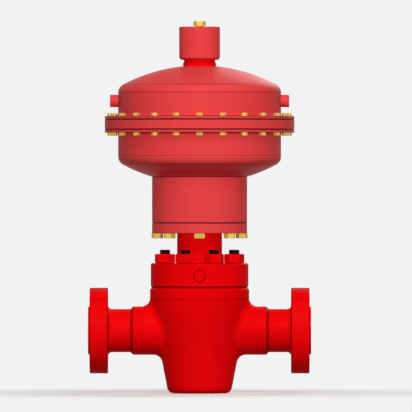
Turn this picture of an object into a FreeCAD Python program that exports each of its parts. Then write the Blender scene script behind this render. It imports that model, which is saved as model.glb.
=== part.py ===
import FreeCAD, Part
import math
import os

os.makedirs("parts", exist_ok=True)

# A diaphragm-actuated, fail-closed surface gate valve.
# Millimetres. X is the flow line, -Y the front, +Z up, the origin under the middle of the foot.
# At rest no air is on the diaphragm, the spring holds the stem up and the gate is shut.

# Fits
fit_gap = 0.05
running_gap = 0.05
hole_play = 0.8
soft_gap = 0.3
cut_overrun = 1.0
same_point = 1e-6
hexagon_sides = 6

# Flow line and its end flanges
end_to_end = 520.7
bore_d = 52.4
bore_axis_z = 146.5
line_flange_d = 200.0
line_flange_thickness = 42.6
line_flange_edge = 2.0
raised_face_d = 111.0
raised_face_height = 3.85
line_bolt_circle_d = 158.8
line_bolt_hole_d = 22.4
line_bolt_count = 8
ring_groove_outer_d = 86.23
ring_groove_width = 12.65
ring_groove_depth = 5.95
ring_groove_wall_angle = 23.0
line_neck_d = 100.7
line_neck_fillet = 10.0
collar_d = 112.7
collar_end_x = 155.5
crotch_fillet = 21.0
crotch_samples = 5

# Valve body
body_top_z = 246.4
body_band_step = 1.75
body_band_height = 27.1
body_foot_d = 146.2
body_foot_fillet = 16.0
body_top_chamfer = 3.7
cavity_d = 94.0
cavity_floor_z = 28.0

# Gate, seats and guides
stroke = 62.0
gate_thickness = 32.0
gate_width = 76.0
gate_below_bore = 45.0
gate_over_port = 33.3
gate_corner = 4.0
stem_slot_neck = 10.0
stem_slot_height = 14.0
stem_slot_width = 45.0
seat_d = 84.0
seat_length = 42.0
seat_seal_section = 3.5
seat_seal_width = 4.0
seat_seal_from_back = 6.0

# Bonnet and its joint to the body
bonnet_flange_height = 57.6
bonnet_flange_chamfer = 2.8
bonnet_step_width = 1.9
bonnet_step_height = 2.4
bonnet_neck_height = 69.7
bonnet_neck_to_studs = 34.75
bonnet_shoulder = 10.6
bonnet_spigot_height = 36.3
bonnet_recess_depth = 37.6
bonnet_gasket_inner_d = 104.0
bonnet_gasket_width = 8.0
bonnet_gasket_height = 12.0
bonnet_gasket_corner = 2.0
stud_count = 8
stud_d = 25.4
stud_to_edge = 26.7
stud_engagement = 38.0
stud_hole_spare = 6.0
stud_above_nut = 9.8
stud_nut_flats = 41.3
stud_nut_height = 21.5
stud_bevel = 1.6
nut_wrench_step = 15.0
plug_rise = 28.1
plug_flats = 26.8
plug_head_height = 4.6
plug_turn = 30.0
plug_thread_d = 21.3
plug_thread_length = 20.0
plug_passage_d = 6.0

# Stem and packing
stem_d = 32.0
stem_head_d = 44.0
stem_guide_length = 16.0
backseat_collar_d = 46.0
backseat_collar_height = 14.0
packing_d = 52.0
packing_chamber_depth = 52.0
packing_base_height = 8.0
packing_ring_height = 6.0
packing_ring_count = 5
packing_peak = 3.0
gland_thread_d = 56.0
gland_top_below = 4.0
gland_slot_width = 8.0
gland_slot_depth = 6.0
gland_slot_count = 4

# End plate, its bolts and the spring barrel
end_plate_thickness = 23.4
end_plate_edge = 1.0
end_plate_gasket_thickness = 1.9
gasket_setback = 1.2
lock_ring_room = 2.1
lock_ring_width = 14.0
lock_ring_height = 12.0
lock_ring_slot_width = 9.0
lock_ring_slot_count = 6
barrel_d = 222.1
barrel_wall = 8.0
barrel_ring_width = 23.55
barrel_ring_height = 28.0
barrel_into_dish = 6.0
end_bolt_count = 8
end_bolt_d = 16.0
end_bolt_to_edge = 12.55
end_bolt_flats = 24.0
end_bolt_head = 11.7
end_bolt_engagement = 22.0
breather_rise = 55.0
breather_thread_d = 13.2
breather_flats = 17.5
breather_head = 7.0
breather_bore_d = 6.0

# Diaphragm housings and the stack of flanges between them
housing_wall = 5.0
crown_radius = 380.0
knuckle_radius = 21.0
housing_root_fillet = 7.0
lower_tangent_z = 552.6
lower_flange_base_z = 608.7
lower_flange_thickness = 6.3
spacer_gasket_thickness = 1.9
spacer_height = 21.5
diaphragm_rim = 1.8
upper_flange_thickness = 7.1
upper_cylinder_height = 55.1
stack_flange_d = 442.9
stack_flange_width = 31.2
stack_bolt_count = 24
stack_bolt_to_edge = 14.05
stack_bolt_d = 9.5
stack_bolt_flats = 14.3
stack_bolt_head = 6.7
stack_nut_height = 7.1
port_d = 28.8
port_stand_out = 18.95
port_rise = 35.5
port_bore_d = 20.4
port_inside = 3.0
port_chamfer = 1.6

# Top hub and cap
hub_d = 77.2
hub_depth = 15.0
hub_stand_out = 8.37
hub_chamfer = 1.5
hub_neck_d = 73.3
hub_neck_height = 6.8
hub_thread_d = 64.0
hub_thread_length = 24.0
hub_lip = 4.0
hub_lip_d = 44.0
bushing_d = 54.0
bushing_length = 42.0
shaft_seal_section = 4.2
shaft_seal_groove = 5.0
shaft_seal_count = 2
snap_ring_thickness = 1.8
snap_ring_bite = 2.0
snap_ring_mouth = 14.0
cap_d = 95.3
cap_height = 77.0
cap_roof = 7.0
cap_chamfer = 2.0
cap_bevel_height = 4.4
cap_bevel_width = 4.15
cap_plug_d = 12.0
cap_plug_neck_d = 17.0
cap_plug_neck_height = 1.8
cap_plug_flats = 25.3
cap_plug_height = 11.6

# Moving train above the stem, and the spring
connector_d = 56.0
connector_length = 60.0
connector_flats = 50.0
stop_gap = 0.5
connector_gap = 1.0
shaft_d = 38.0
shaft_spigot_d = 32.0
shaft_below_roof = 6.0
shaft_shoulder_d = 54.0
shaft_shoulder_height = 12.0
shaft_bevel = 1.9
plate_level_z = 655.0
lower_plate_to_wall = 40.25
lower_plate_thickness = 8.0
lower_plate_rim_depth = 22.0
lower_plate_rim_radius = 8.0
lower_plate_rim_corner = 3.0
diaphragm_thickness = 2.5
diaphragm_bend = 9.0
diaphragm_bend_to_wall = 11.25
diaphragm_bend_to_plate = 10.0
upper_plate_setback = 10.0
upper_plate_thickness = 6.0
upper_plate_edge = 4.0
shaft_washer_d = 68.0
shaft_washer_thickness = 4.0
shaft_nut_flats = 55.0
shaft_nut_height = 22.0
spring_wire_d = 18.0
spring_to_ring = 6.5
spring_turns = 6.5
spring_seat_thickness = 6.0
spring_seat_lip = 7.0
spring_seat_wall = 4.5

# Directions and levels that follow from the sizes above
front_angle = -90.0
upward = 1
downward = -1
ORIGIN = FreeCAD.Vector(0, 0, 0)
AXIS_X = FreeCAD.Vector(1, 0, 0)
AXIS_Y = FreeCAD.Vector(0, 1, 0)
AXIS_Z = FreeCAD.Vector(0, 0, 1)

end_plate_d = barrel_d
end_bolt_circle_d = end_plate_d - 2 * end_bolt_to_edge
barrel_ring_inner_d = barrel_d - 2 * barrel_ring_width
housing_d = stack_flange_d - 2 * stack_flange_width
stack_bolt_circle_d = stack_flange_d - 2 * stack_bolt_to_edge
spring_mean_d = barrel_ring_inner_d - spring_wire_d - 2 * spring_to_ring
spring_inner_r = (spring_mean_d - spring_wire_d) / 2
spring_guide_r = spring_inner_r - hole_play / 2
spring_seat_inner_r = spring_guide_r - spring_seat_wall
lock_ring_d = 2 * (spring_seat_inner_r - lock_ring_room)
lower_seat_outer_r = barrel_ring_inner_d / 2 - hole_play
bonnet_spigot_d = lock_ring_d - 2 * lock_ring_width
bonnet_neck_d = bonnet_spigot_d + 2 * bonnet_shoulder
bonnet_step_d = bonnet_neck_d + 2 * bonnet_step_width
stud_circle_d = bonnet_neck_d + 2 * bonnet_neck_to_studs
bonnet_flange_d = stud_circle_d + 2 * stud_to_edge
body_band_d = bonnet_flange_d + 2 * body_band_step
lower_plate_d = housing_d - 2 * lower_plate_to_wall
upper_plate_d = lower_plate_d - 2 * upper_plate_setback
diaphragm_outer_bend_r = housing_d / 2 - diaphragm_bend_to_wall
diaphragm_inner_bend_r = lower_plate_d / 2 + diaphragm_bend_to_plate
port_reach_x = housing_d / 2 + port_stand_out

face_x = end_to_end / 2
flange_front_x = face_x - raised_face_height
flange_back_x = flange_front_x - line_flange_thickness
collar_foot_x = collar_end_x + (collar_d - line_neck_d) / 2
seat_back_x = gate_thickness / 2 + running_gap + seat_length
seat_pocket_r = seat_d / 2 + fit_gap

backseat_z = body_top_z + bonnet_recess_depth
bonnet_flange_top_z = body_top_z + bonnet_flange_height
end_plate_base_z = bonnet_flange_top_z + bonnet_neck_height
end_plate_top_z = end_plate_base_z + end_plate_thickness
barrel_base_z = end_plate_top_z + end_plate_gasket_thickness
bonnet_top_z = end_plate_base_z + bonnet_spigot_height
packing_floor_z = backseat_z + stem_guide_length
packing_base_top_z = packing_floor_z + packing_base_height
packing_top_z = packing_base_top_z + packing_ring_count * packing_ring_height
gland_thread_z = packing_floor_z + packing_chamber_depth

gate_bottom_z = bore_axis_z - gate_below_bore
gate_port_z = bore_axis_z + stroke
gate_top_z = gate_port_z + bore_d / 2 + gate_over_port
slot_top_z = gate_top_z - stem_slot_neck
slot_floor_z = slot_top_z - stem_slot_height

lower_flange_top_z = lower_flange_base_z + lower_flange_thickness
spacer_base_z = lower_flange_top_z + spacer_gasket_thickness
spacer_top_z = spacer_base_z + spacer_height
upper_flange_base_z = spacer_top_z + diaphragm_rim
upper_flange_top_z = upper_flange_base_z + upper_flange_thickness
upper_tangent_z = upper_flange_top_z + upper_cylinder_height
port_z = upper_flange_top_z + port_rise

dish_offset = math.sqrt((crown_radius - knuckle_radius) ** 2 - (housing_d / 2 - knuckle_radius) ** 2)
hub_seat_drop = crown_radius - math.sqrt(crown_radius ** 2 - (hub_d / 2) ** 2)
hub_top_z = upper_tangent_z - dish_offset + crown_radius - hub_seat_drop + hub_stand_out
hub_neck_top_z = hub_top_z + hub_neck_height
hub_thread_top_z = hub_neck_top_z + hub_thread_length
hub_bottom_z = hub_top_z - hub_depth - hub_neck_height
cap_top_z = hub_neck_top_z + cap_height
cap_ceiling_z = cap_top_z - cap_roof

connector_base_z = bonnet_top_z + stroke + stop_gap
connector_middle_z = connector_base_z + connector_length / 2
connector_top_z = connector_base_z + connector_length
shaft_top_z = cap_ceiling_z - shaft_below_roof
lower_plate_top_z = plate_level_z + lower_plate_thickness
upper_plate_base_z = lower_plate_top_z + diaphragm_thickness
upper_plate_top_z = upper_plate_base_z + upper_plate_thickness
shaft_washer_top_z = upper_plate_top_z + shaft_washer_thickness
spring_base_z = end_plate_top_z + spring_seat_thickness


def point(radius, height):
    """A point of the half-plane that is turned about the Z axis."""
    return FreeCAD.Vector(radius, 0, height)


def polar(radius, degrees, height=0.0):
    """A point at a radius and an angle round the Z axis."""
    angle = math.radians(degrees)
    return FreeCAD.Vector(radius * math.cos(angle), radius * math.sin(angle), height)


class Profile:
    """A closed outline of lines and arcs, turned about the Z axis into a solid."""

    def __init__(self, radius, height):
        self.first = self.here = point(radius, height)
        self.edges = []

    def line(self, radius, height):
        target = point(radius, height)
        self.edges.append(Part.makeLine(self.here, target))
        self.here = target
        return self

    def arc(self, via, end):
        target = point(*end)
        self.edges.append(Part.Arc(self.here, point(*via), target).toShape())
        self.here = target
        return self

    def turned(self):
        if self.here.distanceToPoint(self.first) > same_point:
            self.edges.append(Part.makeLine(self.here, self.first))
        face = Part.Face(Part.Wire(self.edges))
        return face.revolve(ORIGIN, AXIS_Z, 360)


def lathe(corners):
    """A turned solid from (radius, height) corners; a third value rounds that corner."""
    spots = [point(corner[0], corner[1]) for corner in corners]
    radii = [corner[2] if len(corner) > 2 else 0.0 for corner in corners]
    passes = []
    for index, spot in enumerate(spots):
        if not radii[index]:
            passes.append((spot, None, spot))
            continue
        back = (spots[index - 1] - spot).normalize()
        ahead = (spots[(index + 1) % len(spots)] - spot).normalize()
        half = back.getAngle(ahead) / 2
        reach = radii[index] / math.tan(half)
        inward = (back + ahead).normalize()
        middle = spot + inward * (radii[index] / math.sin(half) - radii[index])
        passes.append((spot + back * reach, middle, spot + ahead * reach))
    edges = []
    for index, (entry, middle, leave) in enumerate(passes):
        if middle is not None:
            edges.append(Part.Arc(entry, middle, leave).toShape())
        following = passes[(index + 1) % len(passes)][0]
        if leave.distanceToPoint(following) > same_point:
            edges.append(Part.makeLine(leave, following))
    return Part.Face(Part.Wire(edges)).revolve(ORIGIN, AXIS_Z, 360)


def ring(inner_r, outer_r, base, top):
    """A plain ring of rectangular section."""
    return lathe([(inner_r, base), (outer_r, base), (outer_r, top), (inner_r, top)])


def rod(radius, base, top, centre=ORIGIN):
    """A plain upright cylinder."""
    foot = FreeCAD.Vector(centre.x, centre.y, base)
    return Part.makeCylinder(radius, top - base, foot)


def hexagon_corner(flats):
    """The radius over the corners of a hexagon."""
    return flats / 2 / math.cos(math.pi / hexagon_sides)


def hexagon(flats, base, top, turn=0.0):
    """An upright hexagonal prism, a corner toward +X before it is turned."""
    step = 360 / hexagon_sides
    corners = [polar(hexagon_corner(flats), turn + step * index, base) for index in range(hexagon_sides + 1)]
    return Part.Face(Part.makePolygon(corners)).extrude(AXIS_Z * (top - base))


def chamfered_hexagon(flats, base, top, turn=0.0, lower=True, upper=True):
    """A hexagonal prism with its corners turned off at one end or both, as on a nut."""
    corner = hexagon_corner(flats)
    drop = (corner - flats / 2) * math.tan(math.pi / hexagon_sides)
    foot = [(flats / 2, base), (corner, base + drop)] if lower else [(corner, base)]
    head = [(corner, top - drop), (flats / 2, top)] if upper else [(corner, top)]
    return hexagon(flats, base, top, turn).common(lathe([(0, base)] + foot + head + [(0, top)]))


def around(shape, count, start=0.0):
    """Copies of a shape spaced evenly round the Z axis."""
    copies = []
    for index in range(count):
        copy = shape.copy()
        copy.rotate(ORIGIN, AXIS_Z, start + 360 / count * index)
        copies.append(copy)
    return copies


def on_line(shape, side):
    """A shape turned about Z is laid along the flow line, its +Z to the given side."""
    laid = shape.copy()
    laid.rotate(ORIGIN, AXIS_Y, 90 * side)
    laid.translate(FreeCAD.Vector(0, 0, bore_axis_z))
    return laid


def save(name, shape):
    """One file for each node."""
    shape.exportStep(os.path.join("parts", name + ".step"))


def half_step(count):
    """The angle that sets a bolt pattern astride the axes."""
    return 180 / count


def line_run():
    """One half of the flow line, from the middle of the body to the raised face."""
    return lathe([
        (0, 0),
        (collar_d / 2, 0),
        (collar_d / 2, collar_end_x),
        (line_neck_d / 2, collar_foot_x),
        (line_neck_d / 2, flange_back_x, line_neck_fillet),
        (line_flange_d / 2, flange_back_x, line_flange_edge),
        (line_flange_d / 2, flange_front_x, line_flange_edge),
        (raised_face_d / 2, flange_front_x),
        (raised_face_d / 2, face_x),
        (0, face_x),
    ])


def ring_groove():
    """The gasket groove in a raised face, with sloping walls."""
    slope = ring_groove_depth * math.tan(math.radians(ring_groove_wall_angle))
    outer = ring_groove_outer_d / 2
    inner = outer - ring_groove_width
    floor = face_x - ring_groove_depth
    return lathe([(inner, face_x), (outer, face_x), (outer - slope, floor), (inner + slope, floor)])


def line_cuts():
    """What is bored out of one half of the flow line."""
    bolt_hole = rod(line_bolt_hole_d / 2, flange_back_x, flange_front_x, polar(line_bolt_circle_d / 2, 0))
    holes = around(bolt_hole, line_bolt_count, half_step(line_bolt_count))
    bore = rod(bore_d / 2, 0, face_x)
    pocket = rod(seat_pocket_r, 0, seat_back_x)
    return [bore, pocket, ring_groove()] + holes


def gasket_groove():
    """The room that the bonnet gasket fills, half in the body and half in the bonnet."""
    inner = bonnet_gasket_inner_d / 2 - fit_gap
    outer = inner + bonnet_gasket_width + 2 * fit_gap
    half = bonnet_gasket_height / 2 + fit_gap
    return ring(inner, outer, body_top_z - half, body_top_z + half)


def make_valve_body():
    """A tapered pot with the flow line run through it, bored for the gate and seats."""
    band_base = body_top_z - body_band_height
    pot = lathe([
        (0, 0),
        (body_foot_d / 2, 0, body_foot_fillet),
        (body_band_d / 2, band_base),
        (body_band_d / 2, body_top_z - body_top_chamfer),
        (body_band_d / 2 - body_top_chamfer, body_top_z),
        (0, body_top_z),
    ])
    runs = [on_line(line_run(), side) for side in (1, -1)]
    solid = pot.fuse(runs).removeSplitter()
    crotches = [edge for edge in solid.Edges if is_crotch(edge)]
    solid = solid.makeFillet(crotch_fillet, crotches)
    cuts = [on_line(cut, side) for side in (1, -1) for cut in line_cuts()]
    cuts.append(rod(cavity_d / 2, cavity_floor_z, body_top_z))
    cuts.append(gasket_groove())
    hole_floor = body_top_z - stud_engagement - stud_hole_spare
    stud_hole = rod(stud_d / 2 + fit_gap, hole_floor, body_top_z, polar(stud_circle_d / 2, 0))
    cuts += around(stud_hole, stud_count, half_step(stud_count))
    return solid.cut(cuts)


def is_crotch(edge):
    """Whether an edge is where the collar of the flow line enters the pot."""
    box = edge.BoundBox
    if max(abs(box.XMax), abs(box.XMin)) > body_band_d / 2:
        return False
    spots = edge.discretize(crotch_samples)
    offsets = [math.hypot(spot.y, spot.z - bore_axis_z) - collar_d / 2 for spot in spots]
    return max(map(abs, offsets)) < fit_gap


def make_seat_ring(side):
    """A seat ring, its face against the gate and a seal groove near its back."""
    face = gate_thickness / 2 + running_gap
    groove_top = seat_back_x - seat_seal_from_back
    groove_base = groove_top - seat_seal_width
    groove_r = seat_d / 2 - seat_seal_section
    return on_line(lathe([
        (bore_d / 2, face),
        (seat_d / 2, face),
        (seat_d / 2, groove_base),
        (groove_r, groove_base),
        (groove_r, groove_top),
        (seat_d / 2, groove_top),
        (seat_d / 2, seat_back_x),
        (bore_d / 2, seat_back_x),
    ]), side)


def make_seat_seal(side):
    """The soft ring in a seat's groove."""
    top = seat_back_x - seat_seal_from_back - fit_gap
    base = top - seat_seal_width + 2 * fit_gap
    inner = seat_d / 2 - seat_seal_section + fit_gap
    return on_line(ring(inner, seat_d / 2, base, top), side)


def make_gate_guide(side):
    """A crescent beside the gate, relieved where the seat rings pass it."""
    outer = rod(cavity_d / 2 - fit_gap, cavity_floor_z, body_top_z - soft_gap)
    inner_y = gate_width / 2 + soft_gap
    keep = Part.makeBox(cavity_d, cavity_d / 2, body_top_z)
    keep.translate(FreeCAD.Vector(-cavity_d / 2, inner_y if side > 0 else -inner_y - cavity_d / 2, 0))
    relief = rod(seat_d / 2 + soft_gap, gate_thickness / 2, seat_back_x)
    solid = outer.common(keep)
    solid = solid.cut([on_line(relief, way) for way in (1, -1)])
    return max(solid.Solids, key=lambda piece: piece.Volume)


def make_gate():
    """The slab gate: solid below, its port above, and the slot that hangs on the stem."""
    corner = FreeCAD.Vector(-gate_thickness / 2, -gate_width / 2, gate_bottom_z)
    slab = Part.makeBox(gate_thickness, gate_width, gate_top_z - gate_bottom_z, corner)
    upright = [edge for edge in slab.Edges if edge.BoundBox.ZLength > gate_width]
    slab = slab.makeFillet(gate_corner, upright)
    port_start = FreeCAD.Vector(-gate_thickness, 0, gate_port_z)
    port = Part.makeCylinder(bore_d / 2, 2 * gate_thickness, port_start, AXIS_X)
    neck_width = stem_d + 2 * soft_gap
    neck = across_gate(neck_width, slot_top_z, gate_top_z)
    slot = across_gate(stem_slot_width, slot_floor_z, slot_top_z)
    return slab.cut([port, neck, slot])


def across_gate(width, base, top):
    """A slot that runs right through the gate along the flow line."""
    corner = FreeCAD.Vector(-gate_thickness, -width / 2, base)
    return Part.makeBox(2 * gate_thickness, width, top - base, corner)


def make_valve_stem():
    """The stem: a flat-sided head in the gate's slot, a backseat collar and a long rod."""
    head_base = slot_floor_z + soft_gap
    head_top = slot_top_z - soft_gap
    head = rod(stem_head_d / 2, head_base, head_top)
    flat = gate_thickness - 2 * soft_gap
    corner = FreeCAD.Vector(-flat / 2, -stem_head_d / 2, head_base)
    head = head.common(Part.makeBox(flat, stem_head_d, head_top - head_base, corner))
    collar_top = backseat_z - soft_gap
    collar_base = collar_top - backseat_collar_height
    shoulder = (backseat_collar_d - stem_d) / 2
    shank = lathe([
        (0, head_base),
        (stem_d / 2, head_base),
        (stem_d / 2, collar_base),
        (backseat_collar_d / 2, collar_base + shoulder),
        (backseat_collar_d / 2, collar_top),
        (stem_d / 2, collar_top),
        (stem_d / 2, connector_middle_z - connector_gap / 2),
        (0, connector_middle_z - connector_gap / 2),
    ])
    return head.fuse(shank.common(outside_head(head_top, head_base))).removeSplitter()


def outside_head(head_top, head_base):
    """The room above the head, with the head's own flat sides below it."""
    flat = gate_thickness - 2 * soft_gap
    low = Part.makeBox(flat, stem_d, head_top - head_base, FreeCAD.Vector(-flat / 2, -stem_d / 2, head_base))
    high = rod(stem_head_d, head_top, cap_top_z)
    return low.fuse(high)


def make_bonnet_gasket():
    """The eight-sided metal ring in the grooves of the body and the bonnet."""
    inner = bonnet_gasket_inner_d / 2
    outer = inner + bonnet_gasket_width
    base = body_top_z - bonnet_gasket_height / 2
    top = body_top_z + bonnet_gasket_height / 2
    cut = bonnet_gasket_corner
    return lathe([
        (inner + cut, base), (outer - cut, base), (outer, base + cut), (outer, top - cut),
        (outer - cut, top), (inner + cut, top), (inner, top - cut), (inner, base + cut),
    ])


def make_bonnet():
    """The bonnet: a bolted flange, a neck with the packing chamber and a spigot on top."""
    edge = bonnet_flange_chamfer
    flange_r = bonnet_flange_d / 2
    solid = lathe([
        (cavity_d / 2, body_top_z),
        (flange_r - edge, body_top_z),
        (flange_r, body_top_z + edge),
        (flange_r, bonnet_flange_top_z - edge),
        (flange_r - edge, bonnet_flange_top_z),
        (bonnet_step_d / 2, bonnet_flange_top_z),
        (bonnet_step_d / 2, bonnet_flange_top_z + bonnet_step_height),
        (bonnet_neck_d / 2, bonnet_flange_top_z + bonnet_step_height),
        (bonnet_neck_d / 2, end_plate_base_z),
        (bonnet_spigot_d / 2, end_plate_base_z),
        (bonnet_spigot_d / 2, bonnet_top_z),
        (gland_thread_d / 2 + fit_gap, bonnet_top_z),
        (gland_thread_d / 2 + fit_gap, gland_thread_z),
        (packing_d / 2 + fit_gap, gland_thread_z),
        (packing_d / 2 + fit_gap, packing_floor_z),
        (stem_d / 2 + running_gap, packing_floor_z),
        (stem_d / 2 + running_gap, backseat_z),
        (cavity_d / 2, backseat_z),
    ])
    hole_r = (stud_d + hole_play) / 2
    stud_hole = rod(hole_r, body_top_z, bonnet_flange_top_z, polar(stud_circle_d / 2, 0))
    cuts = around(stud_hole, stud_count, half_step(stud_count))
    return solid.cut(cuts + [gasket_groove(), plug_hole()])


def plug_hole():
    """The threaded hole in the front of the bonnet and its passage to the stem."""
    height = body_top_z + plug_rise
    mouth = FreeCAD.Vector(0, -bonnet_flange_d / 2, height)
    bottom_y = -bonnet_flange_d / 2 + plug_thread_length + fit_gap
    thread = Part.makeCylinder(plug_thread_d / 2 + fit_gap, plug_thread_length + fit_gap, mouth, AXIS_Y)
    length = -bottom_y - stem_d / 2
    passage = Part.makeCylinder(plug_passage_d / 2, length, FreeCAD.Vector(0, bottom_y, height), AXIS_Y)
    return thread.fuse(passage)


def make_bonnet_plug():
    """The hexagonal plug in the front of the bonnet, a corner upward."""
    shank = rod(plug_thread_d / 2, -plug_thread_length, 0)
    head = chamfered_hexagon(plug_flats, 0, plug_head_height, lower=False)
    plug = shank.fuse(head)
    plug.rotate(ORIGIN, AXIS_X, 90)
    plug.translate(FreeCAD.Vector(0, -bonnet_flange_d / 2, body_top_z + plug_rise))
    plug.rotate(FreeCAD.Vector(0, 0, body_top_z + plug_rise), AXIS_Y, plug_turn)
    return plug


def make_bonnet_studs():
    """Eight studs, screwed into the body and standing above their nuts."""
    base = body_top_z - stud_engagement
    top = bonnet_flange_top_z + stud_nut_height + stud_above_nut
    tip_r = stud_d / 2 - stud_bevel
    stud = lathe([
        (0, base), (tip_r, base), (stud_d / 2, base + stud_bevel),
        (stud_d / 2, top - stud_bevel), (tip_r, top), (0, top),
    ])
    stud.translate(polar(stud_circle_d / 2, 0))
    return Part.makeCompound(around(stud, stud_count, half_step(stud_count)))


def make_bonnet_nuts():
    """Eight heavy nuts on the studs, each left at its own angle by the wrench."""
    base = bonnet_flange_top_z
    top = base + stud_nut_height
    nuts = []
    for index in range(stud_count):
        place = half_step(stud_count) + 360 / stud_count * index
        wrench_angle = -nut_wrench_step * (index + 1)
        nut = chamfered_hexagon(stud_nut_flats, base, top, wrench_angle)
        nut = nut.cut(rod(stud_d / 2 + fit_gap, base, top))
        nut.translate(polar(stud_circle_d / 2, place))
        nuts.append(nut)
    return Part.makeCompound(nuts)


def make_packing_base():
    """The ring under the packing, with a ridge that spreads the first chevron."""
    inner = stem_d / 2 + running_gap
    outer = packing_d / 2
    return lathe([
        (inner, packing_floor_z), (outer, packing_floor_z), (outer, packing_base_top_z),
        ((inner + outer) / 2, packing_base_top_z + packing_peak), (inner, packing_base_top_z),
    ])


def make_stem_packing():
    """The chevron rings round the stem."""
    inner = stem_d / 2 + running_gap
    outer = packing_d / 2
    middle = (inner + outer) / 2
    rings = []
    for index in range(packing_ring_count):
        base = packing_base_top_z + index * packing_ring_height
        top = base + packing_ring_height
        rings.append(lathe([
            (inner, base), (middle, base + packing_peak), (outer, base),
            (outer, top), (middle, top + packing_peak), (inner, top),
        ]))
    return Part.makeCompound(rings)


def make_packing_gland():
    """The screwed gland that loads the packing, with spanner slots in its top."""
    inner = stem_d / 2 + running_gap
    nose_r = packing_d / 2
    screw_r = gland_thread_d / 2
    top = bonnet_top_z - gland_top_below
    gland = lathe([
        (inner, packing_top_z), ((inner + nose_r) / 2, packing_top_z + packing_peak),
        (nose_r, packing_top_z), (nose_r, gland_thread_z + fit_gap),
        (screw_r, gland_thread_z + fit_gap), (screw_r, top), (inner, top),
    ])
    return gland.cut(top_slots(gland_slot_count, gland_slot_width, gland_slot_depth, top, inner, screw_r))


def top_slots(count, width, depth, top, inner, outer):
    """Slots cut down into a ring's top face, right across its wall."""
    corner = FreeCAD.Vector(inner - cut_overrun, -width / 2, top - depth)
    slot = Part.makeBox(outer - inner + 2 * cut_overrun, width, depth, corner)
    return around(slot, count)


def make_lock_ring():
    """The ring nut on the bonnet's spigot that holds the actuator down."""
    top = end_plate_top_z + lock_ring_height
    solid = ring(bonnet_spigot_d / 2 + fit_gap, lock_ring_d / 2, end_plate_top_z, top)
    reach = (bonnet_spigot_d + lock_ring_d) / 4
    notch = Part.makeBox(
        lock_ring_d / 2 - reach + cut_overrun, lock_ring_slot_width, lock_ring_height,
        FreeCAD.Vector(reach, -lock_ring_slot_width / 2, end_plate_top_z))
    return solid.cut(around(notch, lock_ring_slot_count))


def end_bolt_holes(radius, base, top):
    """The holes of the end plate's bolts, one of them at the front."""
    hole = rod(radius, base, top, polar(end_bolt_circle_d / 2, 0))
    return around(hole, end_bolt_count, front_angle)


def make_end_plate():
    """The round plate that closes the barrel and sits on the bonnet's shoulder."""
    inner = bonnet_spigot_d / 2 + fit_gap
    outer = end_plate_d / 2
    edge = end_plate_edge
    plate = lathe([
        (inner, end_plate_base_z), (outer - edge, end_plate_base_z), (outer, end_plate_base_z + edge),
        (outer, end_plate_top_z), (inner, end_plate_top_z),
    ])
    return plate.cut(end_bolt_holes((end_bolt_d + hole_play) / 2, end_plate_base_z, end_plate_top_z))


def make_end_plate_gasket():
    """The dark gasket between the end plate and the barrel."""
    outer = barrel_d / 2 - gasket_setback
    gasket = ring(barrel_ring_inner_d / 2, outer, end_plate_top_z, barrel_base_z)
    return gasket.cut(end_bolt_holes((end_bolt_d + hole_play) / 2, end_plate_top_z, barrel_base_z))


def make_end_plate_bolts():
    """Hexagon bolts up through the end plate into the barrel's ring."""
    head_base = end_plate_base_z - end_bolt_head
    head = chamfered_hexagon(end_bolt_flats, head_base, end_plate_base_z, upper=False)
    bolt = head.fuse(rod(end_bolt_d / 2, end_plate_base_z, barrel_base_z + end_bolt_engagement))
    bolt.translate(polar(end_bolt_circle_d / 2, 0))
    return Part.makeCompound(around(bolt, end_bolt_count, front_angle))


def make_spring_barrel():
    """The barrel round the spring, its lower ring threaded for the end plate's bolts."""
    outer = barrel_d / 2
    inner = outer - barrel_wall
    ring_r = barrel_ring_inner_d / 2
    ring_top = barrel_base_z + barrel_ring_height
    top = dish_height(outer, 0, lower_tangent_z, downward) + barrel_into_dish
    barrel = lathe([
        (ring_r, barrel_base_z), (outer, barrel_base_z), (outer, top), (inner, top),
        (inner, ring_top), (ring_r, ring_top),
    ])
    depth = barrel_base_z + end_bolt_engagement + fit_gap
    cuts = end_bolt_holes(end_bolt_d / 2 + fit_gap, barrel_base_z, depth)
    breather_start = FreeCAD.Vector(0, inner - cut_overrun, barrel_base_z + breather_rise)
    reach = barrel_wall + 2 * cut_overrun
    cuts.append(Part.makeCylinder(breather_thread_d / 2 + fit_gap, reach, breather_start, AXIS_Y))
    return barrel.cut(cuts)


def make_breather():
    """The small vent in the back of the barrel, through which the spring side breathes."""
    shank = rod(breather_thread_d / 2, -barrel_wall, 0)
    head = chamfered_hexagon(breather_flats, 0, breather_head, lower=False)
    vent = shank.fuse(head).cut(rod(breather_bore_d / 2, -barrel_wall, breather_head))
    vent.rotate(ORIGIN, AXIS_X, -90)
    vent.translate(FreeCAD.Vector(0, barrel_d / 2, barrel_base_z + breather_rise))
    return vent


def dish_centre(tangent_z, way):
    """The height of the crown's centre, for a dish that bulges to the given way."""
    return tangent_z - way * dish_offset


def dish_height(radius, inset, tangent_z, way):
    """The height of the crown at a radius, on the outside or a wall's thickness in."""
    reach = crown_radius - inset
    return dish_centre(tangent_z, way) + way * math.sqrt(reach ** 2 - radius ** 2)


def dish_points(inset, tangent_z, way, hole_r):
    """The crown's edge, a crown point, the crown's end, a knuckle point and the knuckle's end."""
    centre_r = housing_d / 2 - knuckle_radius
    centre_z = dish_centre(tangent_z, way)
    angle = math.acos(centre_r / (crown_radius - knuckle_radius))
    crown_r = (crown_radius - inset) * math.cos(angle)
    between_r = (hole_r + crown_r) / 2
    knuckle = knuckle_radius - inset
    return [
        (hole_r, dish_height(hole_r, inset, tangent_z, way)),
        (between_r, dish_height(between_r, inset, tangent_z, way)),
        (crown_r, centre_z + way * (crown_radius - inset) * math.sin(angle)),
        (centre_r + knuckle * math.cos(angle / 2), tangent_z + way * knuckle * math.sin(angle / 2)),
        (centre_r + knuckle, tangent_z),
    ]


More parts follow.
